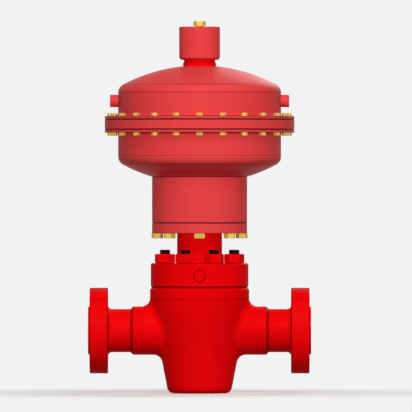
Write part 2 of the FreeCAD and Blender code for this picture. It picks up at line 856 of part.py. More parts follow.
def make_housing(tangent_z, way, hole_r, flange_near_z, flange_far_z):
    """A dished housing: crown, knuckle, short cylinder and a bolted flange at its mouth."""
    outer = dish_points(0, tangent_z, way, hole_r)
    inner = dish_points(housing_wall, tangent_z, way, hole_r)
    root = housing_root_fillet
    wall_r = housing_d / 2
    slant = root * (1 - math.sqrt(0.5))
    profile = Profile(*outer[0]).arc(outer[1], outer[2]).arc(outer[3], outer[4])
    profile.line(wall_r, flange_near_z + way * root)
    profile.arc((wall_r + slant, flange_near_z + way * slant), (wall_r + root, flange_near_z))
    profile.line(stack_flange_d / 2, flange_near_z).line(stack_flange_d / 2, flange_far_z)
    profile.line(wall_r - housing_wall, flange_far_z).line(*inner[4])
    profile.arc(inner[3], inner[2]).arc(inner[1], inner[0])
    base, top = sorted((flange_near_z, flange_far_z))
    return profile.turned().cut(stack_holes(base, top))


def stack_holes(base, top):
    """The bolt holes through one member of the flange stack, one of them at the front."""
    hole = rod((stack_bolt_d + hole_play) / 2, base, top, polar(stack_bolt_circle_d / 2, 0))
    return around(hole, stack_bolt_count, front_angle)


def make_lower_housing():
    """The dish under the diaphragm, fixed round the top of the barrel."""
    return make_housing(
        lower_tangent_z, downward, barrel_d / 2 + fit_gap, lower_flange_base_z, lower_flange_top_z)


def make_upper_housing():
    """The air chamber above the diaphragm, pierced for the hub and the two ports."""
    solid = make_housing(
        upper_tangent_z, upward, hub_d / 2 + fit_gap, upper_flange_top_z, upper_flange_base_z)
    length = housing_d + 2 * cut_overrun
    start = FreeCAD.Vector(-length / 2, 0, port_z)
    return solid.cut(Part.makeCylinder(port_d / 2 + fit_gap, length, start, AXIS_X))


def make_spacer_gasket():
    """The gasket between the lower flange and the spacer ring."""
    inner = housing_d / 2 - housing_wall
    gasket = ring(inner, stack_flange_d / 2 - gasket_setback, lower_flange_top_z, spacer_base_z)
    return gasket.cut(stack_holes(lower_flange_top_z, spacer_base_z))


def make_spacer_ring():
    """The thick ring between the two housings."""
    inner = housing_d / 2 - housing_wall
    spacer = ring(inner, stack_flange_d / 2, spacer_base_z, spacer_top_z)
    return spacer.cut(stack_holes(spacer_base_z, spacer_top_z))


def make_diaphragm():
    """The rubber diaphragm: a clamped rim, a slack slope and a flat middle on the plate."""
    rim_r = stack_flange_d / 2 - gasket_setback
    thick = diaphragm_thickness
    bend = diaphragm_bend
    middle_z = lower_plate_top_z
    solid = lathe([
        (shaft_d / 2 + fit_gap, middle_z),
        (diaphragm_inner_bend_r, middle_z, bend),
        (diaphragm_outer_bend_r, spacer_top_z, bend),
        (rim_r, spacer_top_z),
        (rim_r, upper_flange_base_z),
        (diaphragm_outer_bend_r + thick / 2, upper_flange_base_z, bend - thick),
        (diaphragm_inner_bend_r + thick, middle_z + thick, bend + thick),
        (shaft_d / 2 + fit_gap, middle_z + thick),
    ])
    return solid.cut(stack_holes(spacer_top_z, upper_flange_base_z))


def make_housing_bolts():
    """Hexagon bolts down through the whole flange stack."""
    end = lower_flange_base_z - stack_nut_height
    head_top = upper_flange_top_z + stack_bolt_head
    head = chamfered_hexagon(stack_bolt_flats, upper_flange_top_z, head_top, lower=False)
    bolt = head.fuse(rod(stack_bolt_d / 2, end, upper_flange_top_z))
    bolt.translate(polar(stack_bolt_circle_d / 2, 0))
    return Part.makeCompound(around(bolt, stack_bolt_count, front_angle))


def make_housing_nuts():
    """The nuts under the flange stack."""
    base = lower_flange_base_z - stack_nut_height
    nut = chamfered_hexagon(stack_bolt_flats, base, lower_flange_base_z, upper=False)
    nut = nut.cut(rod(stack_bolt_d / 2 + fit_gap, base, lower_flange_base_z))
    nut.translate(polar(stack_bolt_circle_d / 2, 0))
    return Part.makeCompound(around(nut, stack_bolt_count, front_angle))


def make_air_port(side):
    """A threaded half coupling let into the side of the upper housing."""
    inside = housing_d / 2 - housing_wall - port_inside
    port = lathe([
        (port_bore_d / 2, inside), (port_d / 2, inside), (port_d / 2, port_reach_x),
        (port_bore_d / 2 + port_chamfer, port_reach_x), (port_bore_d / 2, port_reach_x - port_chamfer),
    ])
    port.rotate(ORIGIN, AXIS_Y, 90 * side)
    port.translate(FreeCAD.Vector(0, 0, port_z))
    return port


def make_top_hub():
    """The hub in the crown: it carries the shaft's bushing and the cap's thread."""
    bore_r = bushing_d / 2 + fit_gap
    snap_base = hub_bottom_z + hub_lip + bushing_length
    return lathe([
        (hub_lip_d / 2, hub_bottom_z),
        (hub_d / 2, hub_bottom_z),
        (hub_d / 2, hub_top_z - hub_chamfer),
        (hub_d / 2 - hub_chamfer, hub_top_z),
        (hub_neck_d / 2, hub_top_z),
        (hub_neck_d / 2, hub_neck_top_z),
        (hub_thread_d / 2, hub_neck_top_z),
        (hub_thread_d / 2, hub_thread_top_z),
        (bore_r, hub_thread_top_z),
        (bore_r, snap_base + snap_ring_thickness + fit_gap),
        (bore_r + snap_ring_bite, snap_base + snap_ring_thickness + fit_gap),
        (bore_r + snap_ring_bite, snap_base),
        (bore_r, snap_base),
        (bore_r, hub_bottom_z + hub_lip),
        (hub_lip_d / 2, hub_bottom_z + hub_lip),
    ])


def seal_levels():
    """The heights of the middles of the shaft seals."""
    base = hub_bottom_z + hub_lip
    step = bushing_length / (shaft_seal_count + 1)
    return [base + step * (index + 1) for index in range(shaft_seal_count)]


def make_hub_bushing():
    """The bronze bushing, grooved inside for the shaft seals."""
    inner = shaft_d / 2 + running_gap
    base = hub_bottom_z + hub_lip
    bushing = ring(inner, bushing_d / 2, base, base + bushing_length)
    groove_r = shaft_d / 2 + shaft_seal_section + 2 * soft_gap
    half = shaft_seal_groove / 2
    inside = inner - cut_overrun
    return bushing.cut([ring(inside, groove_r, level - half, level + half) for level in seal_levels()])


def make_shaft_seals():
    """The O-rings in the bushing."""
    radius = shaft_seal_section / 2
    major = shaft_d / 2 + soft_gap + radius
    return Part.makeCompound([
        Part.makeTorus(major, radius, FreeCAD.Vector(0, 0, level)) for level in seal_levels()])


def make_snap_ring():
    """The open ring that keeps the bushing in the hub."""
    base = hub_bottom_z + hub_lip + bushing_length
    outer = bushing_d / 2 + snap_ring_bite
    inner = bushing_d / 2 - snap_ring_bite
    mouth = Part.makeBox(
        bushing_d, snap_ring_mouth, snap_ring_thickness, FreeCAD.Vector(0, -snap_ring_mouth / 2, base))
    return ring(inner, outer, base, base + snap_ring_thickness).cut(mouth)


def make_cap():
    """The screwed cap over the end of the shaft."""
    inner = hub_thread_d / 2 + fit_gap
    outer = cap_d / 2
    foot_r = outer - cap_bevel_width
    cap = lathe([
        (inner, hub_neck_top_z), (foot_r, hub_neck_top_z), (outer, hub_neck_top_z + cap_bevel_height),
        (outer, cap_top_z - cap_chamfer), (outer - cap_chamfer, cap_top_z), (0, cap_top_z),
        (0, cap_ceiling_z), (inner, cap_ceiling_z),
    ])
    return cap.cut(rod(cap_plug_d / 2 + fit_gap, cap_ceiling_z, cap_top_z))


def make_cap_plug():
    """The hexagonal vent plug on the cap, a flat to the front."""
    head_base = cap_top_z + cap_plug_neck_height
    head = chamfered_hexagon(cap_plug_flats, head_base, head_base + cap_plug_height)
    neck = rod(cap_plug_neck_d / 2, cap_top_z, head_base)
    shank = rod(cap_plug_d / 2, cap_ceiling_z, cap_top_z)
    return head.fuse([neck, shank])


def make_stem_connector():
    """The screwed sleeve that joins the valve stem to the actuator's shaft."""
    sleeve = rod(connector_d / 2, connector_base_z, connector_top_z)
    flats = hexagon(connector_flats, connector_middle_z, connector_top_z)
    lower = rod(connector_d / 2, connector_base_z, connector_middle_z)
    sleeve = sleeve.common(lower.fuse(flats))
    stem_room = rod(stem_d / 2 + fit_gap, connector_base_z, connector_middle_z)
    shaft_room = rod(shaft_spigot_d / 2 + fit_gap, connector_middle_z, connector_top_z)
    return sleeve.cut([stem_room, shaft_room])


def make_actuator_shaft():
    """The shaft from the connector, through the diaphragm and the hub, into the cap."""
    body_r = shaft_d / 2
    spigot_r = shaft_spigot_d / 2
    shoulder_z = plate_level_z - shaft_shoulder_height
    return lathe([
        (0, connector_middle_z + connector_gap / 2),
        (spigot_r, connector_middle_z + connector_gap / 2),
        (spigot_r, connector_top_z),
        (body_r, connector_top_z),
        (body_r, shoulder_z),
        (shaft_shoulder_d / 2, shoulder_z),
        (shaft_shoulder_d / 2, plate_level_z),
        (body_r, plate_level_z),
        (body_r, shaft_top_z - shaft_bevel),
        (body_r - shaft_bevel, shaft_top_z),
        (0, shaft_top_z),
    ])


def make_lower_plate():
    """The plate under the diaphragm: a turned-down rim and a guide for the spring."""
    rim_r = lower_plate_d / 2
    rim_z = plate_level_z - (lower_plate_rim_depth - lower_plate_thickness)
    wall = lower_plate_thickness
    guide_z = plate_level_z - spring_seat_lip
    return lathe([
        (shaft_d / 2 + fit_gap, plate_level_z),
        (spring_seat_inner_r, plate_level_z),
        (spring_seat_inner_r, guide_z),
        (spring_guide_r, guide_z),
        (spring_guide_r, plate_level_z),
        (rim_r - wall, plate_level_z, lower_plate_rim_corner),
        (rim_r - wall, rim_z),
        (rim_r, rim_z),
        (rim_r, lower_plate_top_z, lower_plate_rim_radius),
        (shaft_d / 2 + fit_gap, lower_plate_top_z),
    ])


def make_upper_plate():
    """The plate above the diaphragm, its lower edge rounded."""
    return lathe([
        (shaft_d / 2 + fit_gap, upper_plate_base_z),
        (upper_plate_d / 2, upper_plate_base_z, upper_plate_edge),
        (upper_plate_d / 2, upper_plate_top_z),
        (shaft_d / 2 + fit_gap, upper_plate_top_z),
    ])


def make_shaft_washer():
    """The washer under the shaft's nut."""
    return ring(shaft_d / 2 + fit_gap, shaft_washer_d / 2, upper_plate_top_z, shaft_washer_top_z)


def make_shaft_nut():
    """The nut that clamps the diaphragm between its plates."""
    top = shaft_washer_top_z + shaft_nut_height
    nut = chamfered_hexagon(shaft_nut_flats, shaft_washer_top_z, top)
    return nut.cut(rod(shaft_d / 2 + fit_gap, shaft_washer_top_z, top))


def make_spring_seat():
    """The ring on the end plate that carries and centres the spring."""
    lip_z = spring_base_z + spring_seat_lip
    return lathe([
        (spring_seat_inner_r, end_plate_top_z),
        (lower_seat_outer_r, end_plate_top_z),
        (lower_seat_outer_r, spring_base_z),
        (spring_guide_r, spring_base_z),
        (spring_guide_r, lip_z),
        (spring_seat_inner_r, lip_z),
    ])


def make_spring():
    """The closing spring, with its ends ground flat."""
    height = plate_level_z - spring_base_z
    helix = Part.makeHelix(height / spring_turns, height, spring_mean_d / 2)
    section = Part.makeCircle(spring_wire_d / 2, FreeCAD.Vector(spring_mean_d / 2, 0, 0), AXIS_Y)
    coil = Part.Wire(helix).makePipeShell([Part.Wire(section)], True, True)
    coil.translate(FreeCAD.Vector(0, 0, spring_base_z))
    room = ring(spring_inner_r / 2, spring_mean_d, spring_base_z, plate_level_z)
    return coil.common(room)


NODES = {
    "valve_body": make_valve_body,
    "seat_ring_right": lambda: make_seat_ring(1),
    "seat_ring_left": lambda: make_seat_ring(-1),
    "seat_seal_right": lambda: make_seat_seal(1),
    "seat_seal_left": lambda: make_seat_seal(-1),
    "gate_guide_front": lambda: make_gate_guide(-1),
    "gate_guide_rear": lambda: make_gate_guide(1),
    "gate": make_gate,
    "valve_stem": make_valve_stem,
    "bonnet_gasket": make_bonnet_gasket,
    "bonnet": make_bonnet,
    "bonnet_plug": make_bonnet_plug,
    "bonnet_studs": make_bonnet_studs,
    "bonnet_nuts": make_bonnet_nuts,
    "packing_base_ring": make_packing_base,
    "stem_packing": make_stem_packing,
    "packing_gland": make_packing_gland,
    "lock_ring": make_lock_ring,
    "end_plate": make_end_plate,
    "end_plate_gasket": make_end_plate_gasket,
    "end_plate_bolts": make_end_plate_bolts,
    "spring_barrel": make_spring_barrel,
    "breather": make_breather,
    "lower_housing": make_lower_housing,
    "spacer_gasket": make_spacer_gasket,
    "spacer_ring": make_spacer_ring,
    "diaphragm": make_diaphragm,
    "upper_housing": make_upper_housing,
    "housing_bolts": make_housing_bolts,
    "housing_nuts": make_housing_nuts,
    "air_port_right": lambda: make_air_port(1),
    "air_port_left": lambda: make_air_port(-1),
    "top_hub": make_top_hub,
    "hub_bushing": make_hub_bushing,
    "shaft_seals": make_shaft_seals,
    "bushing_snap_ring": make_snap_ring,
    "cap": make_cap,
    "cap_plug": make_cap_plug,
    "stem_connector": make_stem_connector,
    "actuator_shaft": make_actuator_shaft,
    "lower_diaphragm_plate": make_lower_plate,
    "upper_diaphragm_plate": make_upper_plate,
    "shaft_washer": make_shaft_washer,
    "shaft_nut": make_shaft_nut,
    "lower_spring_seat": make_spring_seat,
    "spring": make_spring,
}

for name, make in NODES.items():
    save(name, make())
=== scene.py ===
"""Looks of a diaphragm-actuated gate valve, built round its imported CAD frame.

Metres. X is the flow line, -Y the front and +Z up, as in the frame.
"""

from __future__ import annotations

import logging
import math
from contextlib import contextmanager
from dataclasses import dataclass, field
from enum import Enum, auto
from functools import cache, reduce
from typing import Iterator, Sequence

import bmesh
import bpy
from mathutils import Matrix, Vector


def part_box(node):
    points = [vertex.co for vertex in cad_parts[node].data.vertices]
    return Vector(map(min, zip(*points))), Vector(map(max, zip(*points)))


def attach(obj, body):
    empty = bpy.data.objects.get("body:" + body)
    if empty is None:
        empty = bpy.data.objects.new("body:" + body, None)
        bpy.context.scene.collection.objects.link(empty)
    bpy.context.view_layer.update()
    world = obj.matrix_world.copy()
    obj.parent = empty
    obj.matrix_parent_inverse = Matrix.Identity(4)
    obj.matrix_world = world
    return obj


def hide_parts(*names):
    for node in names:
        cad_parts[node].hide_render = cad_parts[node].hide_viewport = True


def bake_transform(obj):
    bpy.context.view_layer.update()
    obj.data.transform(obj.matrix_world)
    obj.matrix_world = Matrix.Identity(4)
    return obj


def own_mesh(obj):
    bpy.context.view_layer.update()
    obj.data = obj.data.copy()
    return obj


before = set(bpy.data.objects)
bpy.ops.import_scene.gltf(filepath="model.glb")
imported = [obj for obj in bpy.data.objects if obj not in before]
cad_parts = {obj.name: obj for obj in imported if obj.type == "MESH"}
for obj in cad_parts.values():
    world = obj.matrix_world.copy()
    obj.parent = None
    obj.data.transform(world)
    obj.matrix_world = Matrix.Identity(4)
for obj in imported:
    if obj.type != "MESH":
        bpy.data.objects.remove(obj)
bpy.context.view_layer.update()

log = logging.getLogger("gate_valve")

MM = 0.001
BODY = "valve"
TURN = 2 * math.pi
QUARTER = math.pi / 2
SMOOTH_ANGLE = math.radians(32)
BEVEL_ANGLE = math.radians(38)
MERGE = 1e-6
STRAIGHT = 0.9999
CLEARANCE = 0.05 * MM
OVERLAP = 0.25 * MM
# The turned chamfer of a hexagon: where it starts, how far it reaches and how deep it goes.
HEX_FACE = 0.985
HEX_REACH = 1.02
HEX_DROP = 1.15

Colour = tuple[float, float, float]
Corner = tuple[float, ...]
Section = list[tuple[float, float]]
Seams = tuple[tuple["Seam", float, float], ...]
Inputs = dict[str, object]
Piece = bpy.types.Object
Node = bpy.types.Node
Socket = bpy.types.NodeSocket


class Facets(Enum):
    """How many sides a piece has round its axis."""

    LARGE = 192
    MEDIUM = 96
    SMALL = 48
    TINY = 32
    HEXAGON = 6


class Seam(Enum):
    """Where a line of painted shade runs in the paint."""

    LEVEL = auto()
    ALONG = auto()
    HEXAGON = auto()


class Value:
    """A shader socket that takes part in sums as a number does."""

    def __init__(self, recipe: Recipe, socket: Socket) -> None:
        """Wrap an output socket of a recipe."""
        self.recipe = recipe
        self.socket = socket

    def maths(self, operation: str, first: object, second: object = 0.0) -> Value:
        """The result of one Math node."""
        node = self.recipe.node("Math", {0: first, 1: second}, operation=operation)
        return Value(self.recipe, node.outputs[0])

    def __add__(self, other: object) -> Value:
        """Sum."""
        return self.maths("ADD", self, other)

    __radd__ = __add__

    def __sub__(self, other: object) -> Value:
        """Difference."""
        return self.maths("SUBTRACT", self, other)

    def __rsub__(self, other: object) -> Value:
        """Difference, from a plain number."""
        return self.maths("SUBTRACT", other, self)

    def __mul__(self, other: object) -> Value:
        """Product."""
        return self.maths("MULTIPLY", self, other)

    __rmul__ = __mul__

    def __pow__(self, other: object) -> Value:
        """Power."""
        return self.maths("POWER", self, other)

    def above(self, limit: float) -> Value:
        """One where the number is over the limit, and nought elsewhere."""
        return self.maths("GREATER_THAN", self, limit)

    def below(self, limit: float) -> Value:
        """One where the number is under the limit, and nought elsewhere."""
        return self.maths("LESS_THAN", self, limit)

    def larger(self, other: object) -> Value:
        """The larger of two numbers."""
        return self.maths("MAXIMUM", self, other)

    def size(self) -> Value:
        """The number without its sign."""
        return self.maths("ABSOLUTE", self)

    def root(self) -> Value:
        """The square root."""
        return self.maths("SQRT", self)

    def sine(self) -> Value:
        """The sine of the number in radians."""
        return self.maths("SINE", self)

    def spread(self, low: float, high: float, to_low: float = 0.0, to_high: float = 1.0) -> Value:
        """Map the range from low to high smoothly on the second range, held at both ends."""
        ends = {"Value": self, "From Min": low, "From Max": high, "To Min": to_low, "To Max": to_high}
        node = self.recipe.node("MapRange", ends, interpolation_type="SMOOTHSTEP")
        return Value(self.recipe, node.outputs["Result"])


class Recipe:
    """The nodes of one material, or of the sky."""

    def __init__(self, name: str, sky: bool = False) -> None:
        """Start with nothing but an output.

        Args:
            name: The material's or the sky's name.
            sky: Whether the nodes are the sky's.
        """
        self.material = bpy.data.worlds.new(name) if sky else bpy.data.materials.new(name)
        self.material.use_nodes = True
        self.tree = self.material.node_tree
        self.tree.nodes.clear()
        self.output = self.tree.nodes.new("ShaderNodeOutputWorld" if sky else "ShaderNodeOutputMaterial")

    def node(self, kind: str, inputs: dict | None = None, **settings: object) -> Node:
        """Add any shader node.

        Args:
            kind: The node's type, without its prefix.
            inputs: The values or links of its sockets, by name or number.
            settings: Its own settings, set first.

        Returns:
            The node.
        """
        made = self.tree.nodes.new("ShaderNode" + kind)
        for key, value in settings.items():
            setattr(made, key, value)
        for key, value in (inputs or {}).items():
            self.feed(made.inputs[key], value)
        return made

    def feed(self, socket: Socket, value: object) -> None:
        """Link or set one input socket.

        Args:
            socket: The input.
            value: A Value, an output socket, a number, a vector or a colour.
        """
        if isinstance(value, (Value, Socket)):
            self.tree.links.new(value.socket if isinstance(value, Value) else value, socket)
        elif isinstance(value, tuple) and socket.type == "RGBA":
            socket.default_value = (*value, 1.0)
        else:
            socket.default_value = value

    def finish(self, shader: Node) -> bpy.types.ID:
        """Show a shader, and return the material or the sky."""
        self.feed(self.output.inputs["Surface"], shader.outputs[0])
        return self.material

    def place(self) -> Socket:
        """The point of the surface, in metres from the valve's foot."""
        return self.node("TexCoord").outputs["Object"]

    def axes(self) -> tuple[Value, Value, Value]:
        """The point's three coordinates as numbers."""
        parts = self.node("SeparateXYZ", {0: self.place()})
        return tuple(Value(self, parts.outputs[index]) for index in range(3))

    def seen(self) -> Value:
        """One on the camera's rays, straight, mirrored or through glass, and nought on the light's."""
        path = self.node("LightPath").outputs
        straight, mirrored, through = (
            Value(self, path[ray]) for ray in ("Is Camera Ray", "Is Glossy Ray", "Is Transmission Ray"))
        return straight + mirrored + through

    def mixed(self, share: Value, first: Node, second: Node) -> Node:
        """Mix two shaders by a share of the second."""
        return self.node("MixShader", {0: share, 1: first.outputs[0], 2: second.outputs[0]})

    def blend(self, share: Value, first: object, second: object) -> Socket:
        """Mix two colours by a share of the second."""
        return self.node("Mix", {0: share, 6: first, 7: second}, data_type="RGBA").outputs[2]

    def noise(self, per_metre: float, detail: float = 3.0, roughness: float = 0.5,
              stretch: tuple[float, float, float] = (1.0, 1.0, 1.0)) -> Value:
        """A smooth random field from nought to one; stretch is its share of the density on each axis."""
        mapped = self.node("Mapping", {"Vector": self.place(), "Scale": stretch}, vector_type="POINT")
        inputs = {"Vector": mapped.outputs[0], "Scale": per_metre, "Detail": detail, "Roughness": roughness}
        return Value(self, self.node("TexNoise", inputs).outputs[0])

    def bump(self, height: Value, depth: float, under: Socket | None = None) -> Socket:
        """A normal with a relief, its depth in metres, laid on another normal if there is one."""
        base = {} if under is None else {"Normal": under}
        return self.node("Bump", {"Height": height, "Distance": depth, "Strength": 1.0} | base).outputs[0]


def tinted(colour: Colour, share: float) -> Colour:
    """A colour made darker or lighter by a share."""
    return tuple(share * part for part in colour)


@dataclass(frozen=True)
class Finish:
    """A finish of the real valve, with the CAD material slot that it belongs to."""

    name: str
    slot: str

    def sockets(self, recipe: Recipe) -> Inputs:
        """The inputs of the finish's surface."""
        raise NotImplementedError(self.name)


@cache
def material_of(finish: Finish) -> bpy.types.Material:
    """The material of a finish, made on first use."""
    recipe = Recipe(finish.name)
    return recipe.finish(recipe.node("BsdfPrincipled", finish.sockets(recipe)))


@dataclass(frozen=True)
class Steel(Finish):
    """Bare turned or ground steel."""

    colour: Colour = (0.56, 0.57, 0.59)
    roughness: float = 0.3
    line_pitch: float = 0.35 * MM
    line_depth: float = 0.012 * MM

    def sockets(self, recipe: Recipe) -> Inputs:
        """Fine tool lines round the upright axis and a slightly uneven tone."""
        cloud, lines = recipe.noise(22.0), recipe.noise(1 / self.line_pitch / 6, 2.0, 0.4, (0.02, 0.02, 1.0))
        return {"Base Color": recipe.blend(cloud, tinted(self.colour, 0.82), self.colour),
                "Metallic": 1.0, "Roughness": self.roughness + (cloud - 0.5) * 0.12,
                "Normal": recipe.bump(lines, self.line_depth)}


@dataclass(frozen=True)
class Enamel(Finish):
    """Sprayed enamel on metal."""

    colour: Colour
    deep: Colour
    roughness: float = 0.36
    specular: float = 0.5
    peel_depth: float = 0.03 * MM
    peel_per_metre: float = 420.0
    skin_depth: float = 0.0
    skin_per_metre: float = 130.0
    seams: Seams = ()
    # How strongly painted shade darkens the paint along the seams.
    seam_shade: float = 0.62
    plug_level: float = 0.2745

    def sockets(self, recipe: Recipe) -> Inputs:
        """Full and thin places, darker in the seams by painted shade, with orange peel on the forged skin.

        Args:
            recipe: The material's nodes.

        Returns:
            The surface's inputs.
        """
        drift = recipe.noise(9.0, 4.0, 0.6).spread(0.3, 0.7)
        paint = recipe.blend(drift, self.deep, self.colour)
        if self.seams:
            # Painted shade: the seams are blended towards a near-black of the deep colour.
            paint = recipe.blend(self._shade_lines(recipe) * self.seam_shade, paint, tinted(self.deep, 0.2))
        skin = None
        if self.skin_depth:
            skin = recipe.bump(recipe.noise(self.skin_per_metre, 5.0, 0.6), self.skin_depth)
        peel = recipe.bump(recipe.noise(self.peel_per_metre, 1.0, 0.4), self.peel_depth, skin)
        return {"Base Color": paint, "Roughness": self.roughness + (recipe.noise(14.0, 3.0) - 0.5) * 0.1,
                "Specular IOR Level": self.specular, "Normal": peel}

    def _shade_lines(self, recipe: Recipe) -> Value:
        """The painted shade's mask: one in the middle of each seam and nought beside it.

        Args:
            recipe: The material's nodes.

        Returns:
            The lines.
        """
        along, across, up = recipe.axes()
        rise = (up - self.plug_level).size()
        lean = along.size() * 0.5 + rise * math.cos(math.pi / 6)
        measures = {Seam.LEVEL: up, Seam.ALONG: along.size(),
                    # The hexagon measure draws painted shade round the edges of the bonnet plug.
                    Seam.HEXAGON: along.size().larger(lean) + across.above(0.0)}
        return reduce(Value.larger, [(measures[kind] - place).size().spread(width * 0.45, width, 1.0, 0.0)
                                     for kind, place, width in self.seams])


@dataclass(frozen=True)
class FlangedEnamel(Enamel):
    """Enamel on the valve body, left off the joint faces and out of the bore."""

    bare: Colour = (0.50, 0.51, 0.53)
    face_x: float = 0.2603
    bore_axis_z: float = 0.1465
    bore_radius: float = 0.0264
    ring_groove_radius: float = 0.0435
    ring_groove_depth: float = 0.0065
    tool_pitch: float = 0.8 * MM
    tool_depth: float = 0.02 * MM

    def sockets(self, recipe: Recipe) -> Inputs:
        """Paint outside, turned steel on the raised faces, in the ring grooves and in the bore.

        Args:
            recipe: The material's nodes.

        Returns:
            The surface's inputs.
        """
        along, across, up = recipe.axes()
        out = ((across ** 2.0) + ((up - self.bore_axis_z) ** 2.0)).root()
        reach = along.size()
        groove = out.below(self.ring_groove_radius) * reach.above(self.face_x - self.ring_groove_depth)
        metal = reach.above(self.face_x).larger(out.below(self.bore_radius)).larger(groove)
        rings = ((out * (TURN / self.tool_pitch)).sine() + 1.0) * 0.5
        painted = super().sockets(recipe)
        return painted | {
            "Base Color": recipe.blend(metal, painted["Base Color"], self.bare), "Metallic": metal,
            "Roughness": painted["Roughness"] - metal * 0.08,
            "Normal": recipe.bump(rings * metal, self.tool_depth, painted["Normal"])}


@dataclass(frozen=True)
class Plating(Finish):
    """Yellow zinc plate on small fasteners."""

    colour: Colour = (0.74, 0.51, 0.070)
    tint: Colour = (0.66, 0.50, 0.085)
    roughness: float = 0.42

    def sockets(self, recipe: Recipe) -> Inputs:
        """A passivated plate with a drifting tint."""
        drift, grain = recipe.noise(38.0, 2.0).spread(0.35, 0.65), recipe.noise(900.0, 2.0)
        return {"Base Color": recipe.blend(drift, self.colour, self.tint), "Metallic": 0.35,
                "Specular IOR Level": 0.3, "Roughness": self.roughness + (grain - 0.5) * 0.15,
                "Normal": recipe.bump(grain, 0.01 * MM)}


@dataclass(frozen=True)
class Rubber(Finish):
    """Dark moulded rubber or gasket sheet."""

    colour: Colour = (0.009, 0.003, 0.003)

    def sockets(self, recipe: Recipe) -> Inputs:
        """Matt, with a fine fabric print."""
        grain = recipe.noise(1400.0, 2.0)
        return {"Base Color": recipe.blend(grain, self.colour, tinted(self.colour, 1.8)),
                "Specular IOR Level": 0.1, "Roughness": 0.62 + grain * 0.16,
                "Normal": recipe.bump(grain, 0.03 * MM)}


@dataclass(frozen=True)
class BlackOxide(Finish):
    """Oiled black oxide on the studs."""

    colour: Colour = (0.018, 0.003, 0.004)

    def sockets(self, recipe: Recipe) -> Inputs:
        """Dark and a little worn."""
        wear = recipe.noise(260.0, 3.0).spread(0.55, 0.8)
        return {"Base Color": recipe.blend(wear, self.colour, tinted(self.colour, 2.2)), "Metallic": 0.2,
                "Specular IOR Level": 0.2, "Roughness": 0.46 - wear * 0.12,
                "Normal": recipe.bump(recipe.noise(1100.0, 2.0), 0.01 * MM)}


@dataclass(frozen=True)
class Packing(Finish):
    """Pale moulded packing."""

    colour: Colour = (0.80, 0.79, 0.74)

    def sockets(self, recipe: Recipe) -> Inputs:
        """Waxy and even."""
        cloud = recipe.noise(60.0)
        return {"Base Color": recipe.blend(cloud, tinted(self.colour, 0.93), self.colour),
                "Roughness": 0.45 + cloud * 0.08}


def seam_lines(kind: Seam, *marks: tuple[float, float]) -> Seams:
    """Lines of painted shade of one kind, from their places and widths in millimetres."""
    return tuple((kind, place * MM, width * MM) for place, width in marks)


# The seams given to these enamels are lines of painted shade at joints, gasket lines, knuckle edges and
# round the bonnet plug.
VALVE_RED = (0.84, 0.0012, 0.003)
VALVE_ENAMEL = FlangedEnamel(
    "valve_enamel", "valve_paint", VALVE_RED, (0.76, 0.001, 0.0025), roughness=0.50, specular=0.01,
    skin_depth=0.12 * MM, seams=seam_lines(Seam.LEVEL, (246.4, 1.8), (220.0, 0.9), (13.6, 0.9))
    + seam_lines(Seam.ALONG, (158.6, 4.4), (214.0, 2.4), (256.4, 1.4)))
BONNET_ENAMEL = Enamel(
    "bonnet_enamel", "valve_paint", VALVE_RED, (0.77, 0.001, 0.0025), roughness=0.48, specular=0.01,
    skin_depth=0.04 * MM, seams=seam_lines(Seam.LEVEL, (247.2, 4.4), (304.0, 1.8), (373.7, 2.0))
    + seam_lines(Seam.HEXAGON, (12.8, 2.0)))
HUB_ENAMEL = Enamel(
    "hub_enamel", "valve_paint", VALVE_RED, (0.78, 0.001, 0.0025), roughness=0.46, specular=0.01,
    seams=seam_lines(Seam.LEVEL, (772.2, 1.2), (779.0, 2.0)))
ACTUATOR_ENAMEL = Enamel(
    "actuator_enamel", "actuator_paint", (0.765, 0.055, 0.058), (0.735, 0.050, 0.053), roughness=0.45,
    specular=0.03, seams=seam_lines(
        Seam.LEVEL, (373.7, 1.4), (398.0, 2.6), (505.9, 2.2), (513.4, 1.0), (518.1, 1.0), (534.4, 1.0),
        (555.4, 1.0), (702.6, 1.0), (721.3, 1.0), (608.7, 1.6), (616.0, 3.0), (639.6, 3.0), (647.3, 1.8),
        (779.0, 1.8)))
ZINC = Plating("yellow_zinc", "yellow_zinc")
STUD_BLACK = BlackOxide("stud_black", "black_stud")
RUBBER = Rubber("black_rubber", "black_rubber")
PACKING = Packing("white_packing", "white_packing")
BRIGHT_STEEL = Steel("bright_steel", "bright_steel", roughness=0.22)
PLAIN_STEEL = Steel("plain_steel", "plain_steel", (0.40, 0.41, 0.43), 0.38)
BRONZE = Steel("bronze", "bronze", (0.62, 0.40, 0.17))
SPRING_COAT = Enamel("spring_coat", "spring_paint", (0.035, 0.037, 0.042), (0.028, 0.029, 0.033),
                     roughness=0.42, specular=0.45)


@dataclass(frozen=True)
class Extent:
    """The radius and the two ends of a CAD node that is round about the upright axis."""

    radius: float
    base: float
    top: float

    @classmethod
    def of(cls, node: str) -> Extent:
        """Measure a node of the frame by its name."""
        low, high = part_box(node)
        return cls(max(-low.x, high.x, -low.y, high.y), low.z, high.z)


def rounded(corners: Sequence[Corner], steps: int = 4) -> Section:
    """Round the corners of a closed section.

    Args:
        corners: (radius, height) corners; a third value is the corner's own rounding.
        steps: How many chords a rounded corner gets.

    Returns:
        The section's points.
    """
    spots = [Vector((corner[0], corner[1])) for corner in corners]
    points: Section = []
    for index, spot in enumerate(spots):
        radius = corners[index][2] if len(corners[index]) > 2 else 0.0
        back = (spots[index - 1] - spot).normalized()
        ahead = (spots[(index + 1) % len(spots)] - spot).normalized()
        if not radius or abs(back.dot(ahead)) > STRAIGHT:
            points.append((spot.x, spot.y))
            continue
        half = back.angle(ahead) / 2
        centre = spot + (back + ahead).normalized() * (radius / math.sin(half))
        start = spot + back * (radius / math.tan(half)) - centre
        finish = spot + ahead * (radius / math.tan(half)) - centre
        swing = start.angle_signed(finish)
        for step in range(steps + 1):
            swung = Matrix.Rotation(-swing * step / steps, 2) @ start
            points.append((centre.x + swung.x, centre.y + swung.y))
    return points


